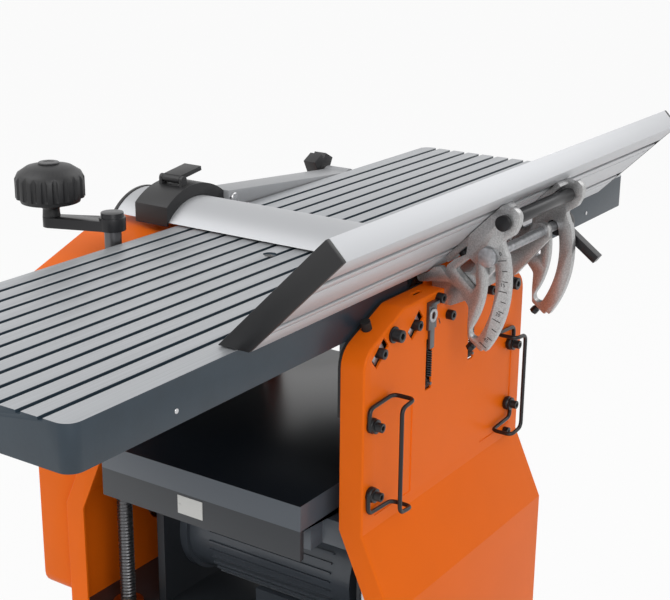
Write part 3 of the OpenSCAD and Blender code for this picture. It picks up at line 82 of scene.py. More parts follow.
# Faces and axes of the main parts, as the frame has them; the cover's back lies on the operator's panel, and
# both panels stand as far from the middle
TABLE_HALF_W, TABLE_Z = corners("infeed_table")[1].yz
OUTFEED_Z = corners("outfeed_table")[1].z
BED_FRONT_X = corners("thicknessing_table")[1].x
PANEL_HALF = corners("left_panel")[1].x
PANEL_TOP = corners("left_panel")[1].z
COVER_FACE_Y, COVER_BACK_Y = (corner.y for corner in corners("drive_cover"))
PANEL_FACE_Y = -COVER_BACK_Y
SWITCH_FACE_Y = corners("switch_box")[0].y
QUADRANT_FACE_X = corners("near_quadrant")[1].x
LEG_TOP_Z = corners("stand")[1].z
TILT_AXIS = pivot("fence_tilt")
CUTTER_AXIS = pivot("cutter_spin")
MOTOR_AXIS = pivot("rotor_spin")
CRANK_AXIS = pivot("crank_turn")
IDLE_AXIS = pivot("idle_screw_turn")
GUARD_AXIS = pivot("guard_height")

# Planing tables: depth of the planed skin, places of the screws, and the face of the depth slots' plates
PLANED_SKIN = 0.6
TOP_SCREW_X = 68.5
TOP_SCREW_Y = 2.8
SKIRT_SCREW_X = 385.0
SKIRT_SCREW_Z = 822.6
SLOT_PLATE_Y = 174.5

# Thicknessing table: the height above which its glossy top is painted near black, as painted shade and
# reflection of the dark under the planing tables, the lines that divide its sides, of which the upper one ends
# the light band and has the sides below it painted darker as painted shade, then two corners of its plate as Y
# and Z, and the threads of its screws
SHADED_TOP_Z = 652.0
BAND_LINES = (626.6, 626.0)
LABEL_LOW = Vector((-24.0, 604.0))
LABEL_HIGH = Vector((8.0, 624.0))
LABEL_THICK = 0.6
RIVET_INSET = 2.6
THREAD_FOOT = 34.0
THREAD_TOP = 752.0
THREAD_RADIUS = 8.1
THREAD_DEPTH = 0.85
THREAD_PITCH = 4.0

# Side panels: where their outline turns in, and the louvres and screws of the drive cover
PANEL_SHOULDER = 805.0
PANEL_TOP_HALF = 91.0
RIM_WIDTH = 6.0
LOUVRE_X = (-62, 0, 62)
LOUVRE_Z = [462 + 15 * row for row in range(6)]
LOUVRE_SIZE = mm(22, 3.2, 4.6)
COVER_SCREWS = [(side * 140, z) for z in (445, 615, 785) for side in (-1, 1)] + [(0, 838)]

# Fittings of the fence-side panel: hooks by side and shift along X, springs by X and Z of their middle axis
# and upper eye, slits by X, Z, length and turn in degrees
HOOK_Z = 700.0
HOOK_SHIFTS = ((-1, 12), (1, 6))
HOOK_EYE_X = 142
HOOK_EYE = [(3.2, 0.0), (7.0, 0.0), (7.6, 1.0), (7.6, 4.2), (6.6, 5.6), (3.2, 5.6)]
SPRING_ANCHORS = ((43, 777), (-43, 783))
SPRING_COIL = 3.2
SPRING_HOOK = 2.88
SPRING_PITCH = 2.5
SPRING_TURNS = 11
LATCH_X = 43
LATCH_Z = 814
LATCH_RING = [(3.6, -0.2), (7.0, -0.2), (7.0, 0.9), (6.5, 1.4), (4.2, 1.4), (3.6, 0.9), (3.6, -0.2)]
SLITS = ((33.8, 825.8, 7.6, 0), (24.7, 802.6, 6.8, 28))

# Cutterblock and motor
KNIVES = 3
GIB_ANGLE = 69.0
GIB_SCREW_RADIUS = 30.0
GIB_SCREW_Y = [46 * i - 115 for i in range(6)]
MOTOR_RIBS = 36
RIB_FOOT = 59.5
RIB_TOP = 62.4

# Tilt scale: angle of its zero, and radii of its marks and numerals
SCALE_ZERO = 12.0
SCALE_END = 45
SCALE_OUTER = 120.5
SCALE_INNER = 115.0
SCALE_INNER_LONG = 111.5
NUMERAL_RADIUS = 115.5
NUMERAL_ASIDE = 3.2

# Crank, carrier, guard, switch box and legs
CRANK_HUB_Z = 876
CARRIER_SCREW_Z = 826
ARM_SCREW_X = -69
ARM_SCREW_Z = 861.5
PIVOT_SCREWS_ASIDE = 22
PIVOT_SCREWS_BELOW = 10
LID_SCREWS = [(x, z) for z in (597, 683) for x in (-73, 13)]
LID_LINES_Z = (604, 676)
LID_LINE_X = (-77, 17)
BUTTONS_X = (-52, -10)
BUTTONS_Z = 645
BUTTON_RADIUS = 13.5
LEG_BOLT_X = 140
LEG_BOLT_DROPS = (14, 36)
LEG_TOP_Y = 211.8
LEG_SPLAY = 85.5 / 404

# Camera, solved from the photograph, with its place in millimetres
IMAGE_WIDTH = 670
FOCAL_PIXELS = 1359.8
CAMERA_PLACE = (1129.7, 796.2, 1230.9)
CAMERA_AIM = (-0.7901, -0.5303, -0.3075)
CAMERA_ROLL = 0.52

# Studio: what the lamps are aimed at, in metres, and how much of the floor's look is plain white
LAMP_AIM = Vector((0, 0, 0.75))
FLOOR_WHITE = 0.93

# Edges sharper than these, in degrees, are rounded, or stay creased between smooth faces
ROUNDED = 38
CREASED = 34


def colour(name, value, words):
    return FloatVectorProperty(name=name, description=words, default=value, subtype="COLOR", size=3,
                               min=0, max=1)


def length(name, value, words):
    return FloatProperty(name=name, description=words, default=mm(value), subtype="DISTANCE",
                         unit="LENGTH", min=0)


class PlanerFinishes(bpy.types.PropertyGroup):
    """Colours of the main finishes."""

    paint: colour("Paint", (1.0, 0.172, 0.004), "Colour of the panels and the drive cover")
    machined: colour("Machined iron", (0.465, 0.48, 0.50), "Colour of the planed tops of the tables")
    casting_paint: colour("Casting paint", (0.026, 0.044, 0.062), "Colour of the tables' sides and grooves")
    anodised: colour("Anodised", (0.60, 0.61, 0.63), "Colour of the fence and the guard")
    cast_alloy: colour("Cast alloy", (0.42, 0.42, 0.42), "Colour of the quadrants and brackets")
    black: colour("Black plastic", (0.012, 0.012, 0.013), "Colour of the knobs, caps and clamps")


class PlanerSizes(bpy.types.PropertyGroup):
    """Sizes of the details that are added to the solids."""

    edge: length("Edge", 0.6, "Width of the small rounding on most edges")
    pressed_edge: length("Pressed edge", 5.0, "Rounding of the pressed steel panels")
    wire: length("Hook wire", 4.2, "Diameter of the wire of the hooks")
    scale_step: IntProperty(name="Scale step", description="Degrees between marks of the tilt scale",
                            default=5, min=1, max=15)


class PlanerStudio(bpy.types.PropertyGroup):
    """Light and floor of the studio."""

    floor: colour("Floor", (0.86, 0.86, 0.86), "Colour of the floor")
    world: FloatProperty(name="World", description="Strength of the soft light all round", default=0.5,
                         min=0)
    key: FloatProperty(name="Key", description="Power of the large lamp", default=38, min=0,
                       subtype="POWER", unit="POWER")


# Materials

def shader_of(material):
    return material.node_tree.nodes["Principled BSDF"]


def finish(name, base, roughness, metallic=0.0, coat=0.0):
    """A plain material; its even values stand on the shader's own sockets."""
    material = bpy.data.materials.get(name)
    if material:
        return material
    material = bpy.data.materials.new(name)
    material.use_nodes = True
    shader = shader_of(material)
    shader.inputs["Base Color"].default_value = (*base, 1)
    shader.inputs["Roughness"].default_value = roughness
    shader.inputs["Metallic"].default_value = metallic
    shader.inputs["Coat Weight"].default_value = coat
    shader.inputs["Coat Roughness"].default_value = 0.12
    return material


def add_noise(tree, name, scale, stretch, detail):
    """Noise in the piece's own coordinates; a stretch draws it out along an axis."""
    place = tree.nodes.new("ShaderNodeTexCoord")
    mapping = tree.nodes.new("ShaderNodeMapping")
    mapping.inputs["Scale"].default_value = stretch
    noise = tree.nodes.new("ShaderNodeTexNoise")
    noise.name = name
    noise.inputs["Scale"].default_value = scale
    noise.inputs["Detail"].default_value = detail
    tree.links.new(place.outputs["Object"], mapping.inputs["Vector"])
    tree.links.new(mapping.outputs["Vector"], noise.inputs["Vector"])
    return noise.outputs["Fac"]


def grain(material, scale, height, stretch=(1, 1, 1)):
    """Fine relief on a material, its height in millimetres."""
    tree = material.node_tree
    if tree.nodes.get("Grain"):
        return material
    noise = add_noise(tree, "Grain", scale, stretch, 2.0)
    bump = tree.nodes.new("ShaderNodeBump")
    bump.inputs["Strength"].default_value = 1.0
    bump.inputs["Distance"].default_value = mm(height)
    tree.links.new(noise, bump.inputs["Height"])
    tree.links.new(bump.outputs["Normal"], shader_of(material).inputs["Normal"])
    return material


def mottled(material, base, other, scale, stretch=(1, 1, 1), low=0.35, high=0.65):
    """Colour that wanders between two tones."""
    tree = material.node_tree
    if tree.nodes.get("Tones"):
        return material
    noise = add_noise(tree, "Tones", scale, stretch, 4.0)
    ramp = tree.nodes.new("ShaderNodeValToRGB")
    for element, position, tone in zip(ramp.color_ramp.elements, (low, high), (base, other)):
        element.position = position
        element.color = (*tone, 1)
    tree.links.new(noise, ramp.inputs["Fac"])
    tree.links.new(ramp.outputs["Color"], shader_of(material).inputs["Base Color"])
    return material


def toned(base, factor):
    """The same colour, darker or brighter by a factor."""
    return tuple(min(1.0, c * factor) for c in base)


def orange_paint():
    paint = bpy.context.scene.planer_finishes.paint
    material = finish("Orange powder coat", paint, 0.44)
    shader_of(material).inputs["Specular IOR Level"].default_value = 0.15
    mottled(material, paint, toned(paint, 0.94), 9.0, low=0.3, high=0.75)
    return grain(material, 900, 0.02)


def casting_paint():
    base = bpy.context.scene.planer_finishes.casting_paint
    material = finish("Casting paint", base, 0.38, coat=0.08)
    shader_of(material).inputs["Specular IOR Level"].default_value = 0.42
    mottled(material, base, toned(base, 0.86), 35.0)
    return grain(material, 260, 0.06)


def machined_top():
    base = bpy.context.scene.planer_finishes.machined
    material = finish("Planed iron", base, 0.42, metallic=0.35)
    mottled(material, base, toned(base, 0.86), 3.0, (1.5, 260, 40))
    return grain(material, 6.0, 0.012, (2, 420, 60))


def anodised():
    base = bpy.context.scene.planer_finishes.anodised
    material = finish("Satin anodised aluminium", base, 0.48, metallic=0.45)
    return grain(material, 5.0, 0.012, (2, 500, 500))


def brushed_plate():
    base = bpy.context.scene.planer_finishes.anodised
    material = finish("Brushed guard plate", toned(base, 0.80), 0.42, metallic=0.5)
    return grain(material, 5.0, 0.015, (500, 2, 500))


def arm_paint():
    base = bpy.context.scene.planer_finishes.anodised
    return grain(finish("Grey arm lacquer", toned(base, 0.63), 0.45, metallic=0.35), 600, 0.02)


def cast_alloy():
    """Cast aluminium, its skin broken up by bright and dull specks."""
    base = bpy.context.scene.planer_finishes.cast_alloy
    material = finish("Cast aluminium", base, 0.34, metallic=0.75)
    mottled(material, toned(base, 0.90), toned(base, 1.30), 700)
    return grain(material, 420, 0.07)


def zinc():
    base = (0.46, 0.47, 0.49)
    material = finish("Zinc plate", base, 0.36, metallic=0.7)
    mottled(material, toned(base, 0.8), toned(base, 1.2), 220)
    return grain(material, 500, 0.02)


def black_plastic():
    return grain(finish("Black plastic", bpy.context.scene.planer_finishes.black, 0.46), 1400, 0.03)


def black_rubber():
    return grain(finish("Black rubber", (0.012, 0.012, 0.012), 0.7), 900, 0.05)


def black_steel():
    return grain(finish("Blackened steel", (0.015, 0.015, 0.017), 0.30, metallic=0.3), 1100, 0.02)


def bright_steel():
    return grain(finish("Ground steel", (0.58, 0.58, 0.59), 0.24, metallic=1.0), 5.0, 0.01, (300, 300, 300))


def dark_steel():
    return grain(finish("Oiled steel", (0.13, 0.13, 0.135), 0.36, metallic=0.85), 450, 0.02)


def dark_paint():
    return grain(finish("Dark satin paint", (0.030, 0.034, 0.040), 0.42), 500, 0.03)


def grey_paint():
    return grain(finish("Grey machine paint", (0.085, 0.10, 0.12), 0.38, coat=0.2), 300, 0.05)


# Top of the thicknessing table: glossy, its near-black colour painted shade and reflection of the dark under the
# planing tables
def bed_gloss():
    material = finish("Polished bed with painted shade", (0.010, 0.013, 0.018), 0.30)
    shader_of(material).inputs["Specular IOR Level"].default_value = 0.35
    return grain(material, 4.0, 0.006, (3, 300, 60))


def bronze():
    return grain(finish("Turned bronze", (0.45, 0.27, 0.10), 0.3, metallic=1.0), 8.0, 0.01, (40, 40, 400))


def knob_cap():
    return grain(finish("Knob cap", (0.03, 0.03, 0.032), 0.35), 1200, 0.02)


def scale_ink():
    return grain(finish("Scale marks", (0.02, 0.02, 0.02), 0.5), 900, 0.01)


def pale_plate():
    return grain(finish("Pale plate", (0.62, 0.62, 0.60), 0.35, metallic=0.3), 700, 0.01)


def green_cap():
    return grain(finish("Green cap", (0.02, 0.32, 0.07), 0.3, coat=0.3), 900, 0.01)


def red_cap():
    return grain(finish("Red cap", (0.55, 0.015, 0.012), 0.3, coat=0.3), 900, 0.01)


def grey_collar():
    return grain(finish("Grey collars", (0.10, 0.10, 0.105), 0.4), 900, 0.02)


# Meshes

def new_piece(name, bm, material, body):
    """Makes the mesh an object at the origin that rides on a body of the part."""
    mesh = bpy.data.meshes.new(name)
    bm.to_mesh(mesh)
    bm.free()
    piece = bpy.data.objects.new(name, mesh)
    bpy.context.collection.objects.link(piece)
    mesh.materials.append(material)
    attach(piece, body)
    return piece


def crisp(bm, angle):
    """Smooth faces, with edges sharper than the angle kept."""
    for face in bm.faces:
        face.smooth = True
    for edge in bm.edges:
        edge.smooth = not edge.is_manifold or edge.calc_face_angle(0) < math.radians(angle)


def body_of_node(node):
    for body, nodes in frame["record"]["behaviour"]["bodies"].items():
        if node in nodes:
            return body
    raise RuntimeError(f"no body holds {node}")


def merged_copy(node):
    """A node's solid as one clean mesh, its flat faces whole."""
    bm = bmesh.new()
    bm.from_mesh(frame["nodes"][node].data)
    bmesh.ops.remove_doubles(bm, verts=bm.verts, dist=mm(0.002))
    bmesh.ops.dissolve_limit(bm, angle_limit=math.radians(0.6), verts=bm.verts, edges=bm.edges)
    return bm


def cut(bm, point, away, keep=False):
    """Cuts a mesh along a plane, and clears what lies beyond it unless that is kept."""
    bmesh.ops.bisect_plane(bm, geom=bm.verts[:] + bm.edges[:] + bm.faces[:], plane_co=mm(*point),
                           plane_no=away, clear_outer=not keep)


def close_holes(bm):
    bmesh.ops.holes_fill(bm, edges=[e for e in bm.edges if e.is_boundary])


def round_edges(bm, width, segments=2, angle=ROUNDED, pick=None):
    """Rounds the edges that are sharper than the angle, or those of them that pick accepts."""
    edges = [e for e in bm.edges
             if e.is_manifold and e.calc_face_angle(0) > math.radians(angle) and (pick is None or pick(e))]
    if edges:
        bmesh.ops.bevel(bm, geom=edges, offset=width, offset_type="OFFSET", segments=segments, profile=0.5,
                        affect="EDGES", material=-1, clamp_overlap=True)


def softened(node, material, width=None, segments=2, first=None, crease=CREASED):
    """A copy of a solid with its edges rounded, standing for its node; first works on the mesh before."""
    width = bpy.context.scene.planer_sizes.edge if width is None else width
    bm = merged_copy(node)
    if first:
        first(bm)
    if width > 0:
        round_edges(bm, width, segments)
    crisp(bm, crease)
    piece = new_piece(f"dressed_{node}", bm, material, body_of_node(node))
    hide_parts(node)
    return piece


def finished_node(node, material):
    """Gives a CAD solid a better material."""
    solid = frame["nodes"][node]
    for slot in solid.material_slots:
        slot.link = "OBJECT"
        slot.material = material


def paint_where(piece, material, inside):
    """Gives the faces whose middle, in millimetres, and normal pass the test another material."""
    piece.data.materials.append(material)
    index = len(piece.data.materials) - 1
    for face in piece.data.polygons:
        if inside(face.center * 1000, face.normal):
            face.material_index = index


def add_box(bm, low, high, matrix=None):
    made = bmesh.ops.create_cube(bm, size=1)
    size = high - low
    place = Matrix.Translation((low + high) / 2) @ Matrix.Diagonal((*size, 1))
    bmesh.ops.transform(bm, matrix=(matrix or Matrix()) @ place, verts=made["verts"])


def lathe(profile, matrix, steps):
    """Spins a profile of (radius, height) points in millimetres round Z."""
    bm = bmesh.new()
    verts = [bm.verts.new(mm(r, 0, h)) for r, h in profile]
    edges = [bm.edges.new(pair) for pair in zip(verts, verts[1:])]
    bmesh.ops.spin(bm, geom=verts + edges, cent=(0, 0, 0), axis=(0, 0, 1), angle=2 * math.pi, steps=steps,
                   use_merge=True)
    bmesh.ops.remove_doubles(bm, verts=bm.verts, dist=1e-6)
    close_holes(bm)
    bmesh.ops.recalc_face_normals(bm, faces=bm.faces)
    bmesh.ops.transform(bm, matrix=matrix, verts=bm.verts)
    return bm


def join(bm, other):
    """Adds one mesh to another."""
    carrier = bpy.data.meshes.new("Carrier")
    other.to_mesh(carrier)
    other.free()
    bm.from_mesh(carrier)
    bpy.data.meshes.remove(carrier)


def turned(degrees, axis):
    """A turn about an axis of the frame it is applied in."""
    return Matrix.Rotation(math.radians(degrees), 4, axis)


def facing(point, direction, turn=0.0):
    """The frame at a point in millimetres whose Z runs along a direction."""
    aim = Vector(direction).normalized().to_track_quat("Z", "Y").to_matrix().to_4x4()
    return Matrix.Translation(mm(*point)) @ aim @ turned(turn, "Z")


def add_screw(bm, matrix, head, rise, socket=0.5):
    """A round screw head with a hexagon socket, standing on the frame's XY plane."""
    r = head / 2
    edge = min(0.8, rise * 0.3)
    side = [(0.001, -0.2), (r, -0.2), (r, rise - edge), (r - edge, rise), (r * socket * 1.12, rise)]
    join(bm, lathe(side, matrix, 24))
    cup = bmesh.new()
    rim = bmesh.ops.create_circle(cup, cap_ends=False, segments=6, radius=mm(r * socket))["verts"]
    bmesh.ops.transform(cup, matrix=Matrix.Translation(mm(0, 0, rise + 0.02)), verts=rim)
    bmesh.ops.inset_region(cup, faces=[cup.faces.new(rim)], thickness=mm(0.15),
                           depth=mm(-min(1.6, rise * 0.7)))
    bmesh.ops.transform(cup, matrix=matrix, verts=cup.verts)
    join(bm, cup)


def add_cross_screw(bm, matrix, head, rise):
    """A low domed screw head with a cross on its top."""
    r = head / 2
    dome = [(0.001, -0.2), (r, -0.2), (r, rise * 0.35), (r * 0.8, rise * 0.8), (r * 0.45, rise),
            (0.001, rise)]
    join(bm, lathe(dome, matrix, 24))
    for turn in (0, 90):
        add_box(bm, mm(-r * 0.5, -r * 0.11, rise - 0.3), mm(r * 0.5, r * 0.11, rise + 0.04),
                matrix @ turned(turn, "Z"))


def thread(radius, depth, pitch, start, turns, matrix):
    """A helical ridge round a bar: a small profile spun along its axis."""
    steps = 20
    bm = bmesh.new()
    half = pitch * 0.42
    verts = [bm.verts.new(mm(*v)) for v in ((radius - 0.1, 0, start - half), (radius + depth, 0, start),
                                            (radius - 0.1, 0, start + half))]
    edges = [bm.edges.new(pair) for pair in zip(verts, verts[1:])]
    bmesh.ops.spin(bm, geom=verts + edges, cent=(0, 0, 0), axis=(0, 0, 1), dvec=mm(0, 0, pitch / steps),
                   angle=2 * math.pi * turns, steps=int(steps * turns))
    bmesh.ops.remove_doubles(bm, verts=bm.verts, dist=1e-7)
    bmesh.ops.transform(bm, matrix=matrix, verts=bm.verts)
    return bm


def detail(name, bm, material, body, slot, angle=CREASED):
    """A piece that the solids don't have."""
    crisp(bm, angle)
    return new_piece(name, bm, material, body)


def add_curve(bm, curve, matrix=None):
    """Adds a text or a curve as a mesh, and removes it."""
    holder = bpy.data.objects.new("Holder", curve)
    bpy.context.collection.objects.link(holder)
    bpy.context.view_layer.update()
    mesh = bpy.data.meshes.new_from_object(holder.evaluated_get(bpy.context.evaluated_depsgraph_get()))
    mesh.transform(matrix or Matrix())
    bm.from_mesh(mesh)
    bpy.data.objects.remove(holder)
    bpy.data.curves.remove(curve)
    bpy.data.meshes.remove(mesh)


def add_numeral(bm, figures, size, depth, matrix):
    """Raised figures of a scale."""
    text = bpy.data.curves.new("Numeral", "FONT")
    text.body = figures
    text.size = mm(size)
    text.align_x = "CENTER"
    text.align_y = "CENTER"
    text.extrude = mm(depth)
    text.resolution_u = 2
    add_curve(bm, text, matrix)


def add_wire(bm, points, radius, sides):
    """Adds a round wire along a line of points."""
    curve = bpy.data.curves.new("Wire", "CURVE")
    curve.dimensions = "3D"
    curve.bevel_depth = radius
    curve.bevel_resolution = sides // 4
    curve.use_fill_caps = True
    spline = curve.splines.new("POLY")
    spline.points.add(len(points) - 1)
    for point, place in zip(spline.points, points):
        point.co = (*place, 1)
    add_curve(bm, curve)


def rounded_line(bends, radius, steps=6):
    """A line through some bends, each but the ends turned into a short curve."""
    line = [bends[0]]
    for before, bend, after in zip(bends, bends[1:], bends[2:]):
        start = bend + (before - bend).normalized() * radius
        end = bend + (after - bend).normalized() * radius
        for step in range(steps + 1):
            t = step / steps
            line.append(start * (1 - t) ** 2 + bend * 2 * t * (1 - t) + end * t * t)
    line.append(bends[-1])
    return line


def panel_rim_distance(x, z):
    """How far a point of a side panel lies inside its outline, in millimetres."""
    run = Vector((PANEL_TOP_HALF - PANEL_HALF, PANEL_TOP - PANEL_SHOULDER))
    out = Vector((abs(x) - PANEL_HALF, z - PANEL_SHOULDER))
    slope = (run.x * out.y - run.y * out.x) / run.length
    return min(PANEL_HALF - abs(x), PANEL_TOP - z, slope)


def on_pressed_rim(edge):
    """True for the outer edges between a pressed panel's face and its flange."""
    middle = (edge.verts[0].co + edge.verts[1].co) * 500
    if abs(middle.y) < PANEL_FACE_Y - 0.4 or panel_rim_distance(middle.x, middle.z) > RIM_WIDTH:
        return False
    outward = Vector((middle.x / PANEL_HALF, 0, 1 if middle.z > PANEL_SHOULDER - 10 else 0))
    normals = [face.normal for face in edge.link_faces]
    faces_out = any(abs(n.y) > 0.6 and n.y * middle.y > 0 for n in normals)
    flange_out = any(abs(n.y) < 0.3 and n.dot(outward) > 0.2 for n in normals)
    return faces_out and flange_out


# Operators

class PLANER_OT_tables(bpy.types.Operator):
    """Planing tables with machined tops, painted sides and dark grooves"""

    bl_idname = "planer.tables"
    bl_label = "Planing tables"

    def execute(self, context):
        for node, top in (("infeed_table", TABLE_Z), ("outfeed_table", OUTFEED_Z)):
            table = softened(node, casting_paint(), width=mm(0.5))
            paint_where(table, machined_top(),
                        lambda middle, normal: middle.z > top - PLANED_SKIN and normal.z > 0.3)
        plates = softened("depth_slot_plates", black_steel(), width=mm(0.4))
        paint_where(plates, zinc(), lambda middle, normal: middle.y < SLOT_PLATE_Y + 0.3)
        softened("depth_screw_knob", black_plastic())
        finished_node("depth_bracket", dark_steel())
        self.table_screws("infeed_table", TABLE_Z, 1)
        self.table_screws("outfeed_table", OUTFEED_Z, -1)
        return {"FINISHED"}

    def table_screws(self, node, top, end):
        """A sunk screw in a table's top and a small one in each skirt."""
        body = body_of_node(node)
        bm = lathe([(0.001, -0.5), (1.7, -0.5), (2.3, 0.15), (4.4, 0.15), (4.8, -0.2)],
                   facing((end * TOP_SCREW_X, TOP_SCREW_Y, top), (0, 0, 1)), 24)
        detail(f"{node}_top_screw", bm, black_steel(), body, "black_steel")
        bm = bmesh.new()
        for side in (-1, 1):
            spot = (end * SKIRT_SCREW_X, side * TABLE_HALF_W, SKIRT_SCREW_Z)
            add_screw(bm, facing(spot, (0, side, 0)), 4.6, 0.9)
        detail(f"{node}_skirt_screws", bm, bright_steel(), body, "bright_steel")


class PLANER_OT_thicknessing_table(bpy.types.Operator):
    """Thicknessing table with its polished top, whose near-black colour is painted shade, its carriage, columns
    and screws
    """

    bl_idname = "planer.thicknessing_table"
    bl_label = "Thicknessing table"

    def execute(self, context):
        def divide(bm):
            for height in BAND_LINES:
                cut(bm, (0, 0, height), (0, 0, 1), keep=True)

        bed = softened("thicknessing_table", grey_paint(), width=mm(1.0), first=divide)
        # The top faces get the near-black glossy finish: painted shade and reflection of the dark under the
        # planing tables
        paint_where(bed, bed_gloss(), lambda middle, normal: middle.z > SHADED_TOP_Z and normal.z > 0.5)
        # The sides below the light band get the dark paint as painted shade, as under a step that the solid
        # doesn't have
        paint_where(bed, dark_paint(), lambda middle, normal: middle.z < BAND_LINES[0])
        softened("lift_carriage", grey_paint(), width=mm(1.5))
        finished_node("lift_nuts", bronze())
        finished_node("lift_columns", bright_steel())
        finished_node("screw_bushes", bronze())
        self.label_plate()
        self.cut_thread("lead_screw", CRANK_AXIS)
        self.cut_thread("idle_screw", IDLE_AXIS)
        return {"FINISHED"}

    def label_plate(self):
        """Bare plate on the near edge of the bed, held by two rivets."""
        face = BED_FRONT_X + LABEL_THICK
        bm = bmesh.new()
        add_box(bm, mm(BED_FRONT_X, *LABEL_LOW), mm(face, *LABEL_HIGH))
        round_edges(bm, mm(0.25), 2)
        for y in (LABEL_LOW.x + RIVET_INSET, LABEL_HIGH.x - RIVET_INSET):
            place = facing((face, y, (LABEL_LOW.y + LABEL_HIGH.y) / 2), (1, 0, 0))
            join(bm, lathe([(1.1, -0.1), (1.0, 0.35), (0.5, 0.6), (0.001, 0.65)], place, 12))
        detail("bare_label_plate", bm, pale_plate(), "lift", "bright_steel")

    def cut_thread(self, node, axis):
        """A screw that lifts the bed, with its plain middle made a threaded one."""
        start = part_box(node)[0].z * 1000 + THREAD_FOOT
        bm = bmesh.new()
        for height, away in ((start, 1), (THREAD_TOP, -1)):
            end_part = merged_copy(node)
            cut(end_part, (0, 0, height), (0, 0, away))
            close_holes(end_part)
            join(bm, end_part)
        place = Matrix.Translation(mm(axis.x, axis.y, 0))
        core = [(0.001, start - 1), (THREAD_RADIUS, start - 1),
                (THREAD_RADIUS, THREAD_TOP + 1), (0.001, THREAD_TOP + 1)]
        join(bm, lathe(core, place, 24))
        turns = (THREAD_TOP - start - THREAD_PITCH) / THREAD_PITCH
        join(bm, thread(THREAD_RADIUS, THREAD_DEPTH, THREAD_PITCH, start + THREAD_PITCH / 2, turns, place))
        piece = detail(f"cut_{node}", bm, dark_steel(), body_of_node(node), "dark_steel", 50)
        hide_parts(node)


class PLANER_OT_side_panels(bpy.types.Operator):
    """Pressed orange side panels, the pan and the inner frames"""

    bl_idname = "planer.side_panels"
    bl_label = "Side panels"

    def execute(self, context):
        def press(bm):
            round_edges(bm, context.scene.planer_sizes.pressed_edge, 5, 50, on_pressed_rim)

        for node in ("right_panel", "left_panel"):
            softened(node, orange_paint(), width=mm(0.5), first=press, crease=20)
        softened("drive_cover", orange_paint(), width=mm(2.0), segments=3)
        for node in ("side_frames", "bearing_plates", "base_pan"):
            finished_node(node, dark_paint())
        finished_node("edge_seals", black_rubber())
        self.louvres()
        bm = bmesh.new()
        for x, z in COVER_SCREWS:
            add_cross_screw(bm, facing((x, COVER_FACE_Y, z), (0, -1, 0), 20), 10, 2.4)
        detail("cover_screws", bm, black_steel(), "body", "black_steel")
        return {"FINISHED"}

    def louvres(self):
        """Cooling louvres of the drive cover, each a hood over a black slip of painted shade that stands for its
        opening.
        """
        hoods = bmesh.new()
        shade_slips = bmesh.new()
        for x in LOUVRE_X:
            for z in LOUVRE_Z:
                hood = bmesh.new()
                ball = bmesh.ops.create_uvsphere(hood, u_segments=16, v_segments=8, radius=1)["verts"]
                bmesh.ops.transform(hood, matrix=Matrix.Diagonal((*LOUVRE_SIZE, 1)), verts=ball)
                cut(hood, (0, 0, -1.4), (0, 0, -1))
                cut(hood, (0, 0.3, 0), (0, 1, 0))
                close_holes(hood)
                bmesh.ops.translate(hood, vec=mm(x, COVER_FACE_Y, z), verts=hood.verts)
                join(hoods, hood)
                # A black slip under each hood is painted shade in place of the opening behind it
                add_box(shade_slips, mm(x - 20, COVER_FACE_Y - 0.35, z - 5.5),
                        mm(x + 20, COVER_FACE_Y + 0.4, z - 1.8))
        detail("cover_louvres", hoods, orange_paint(), "body", "orange_paint")
        detail("cover_louvre_shade_slips", shade_slips, black_rubber(), "body", "black_plastic")


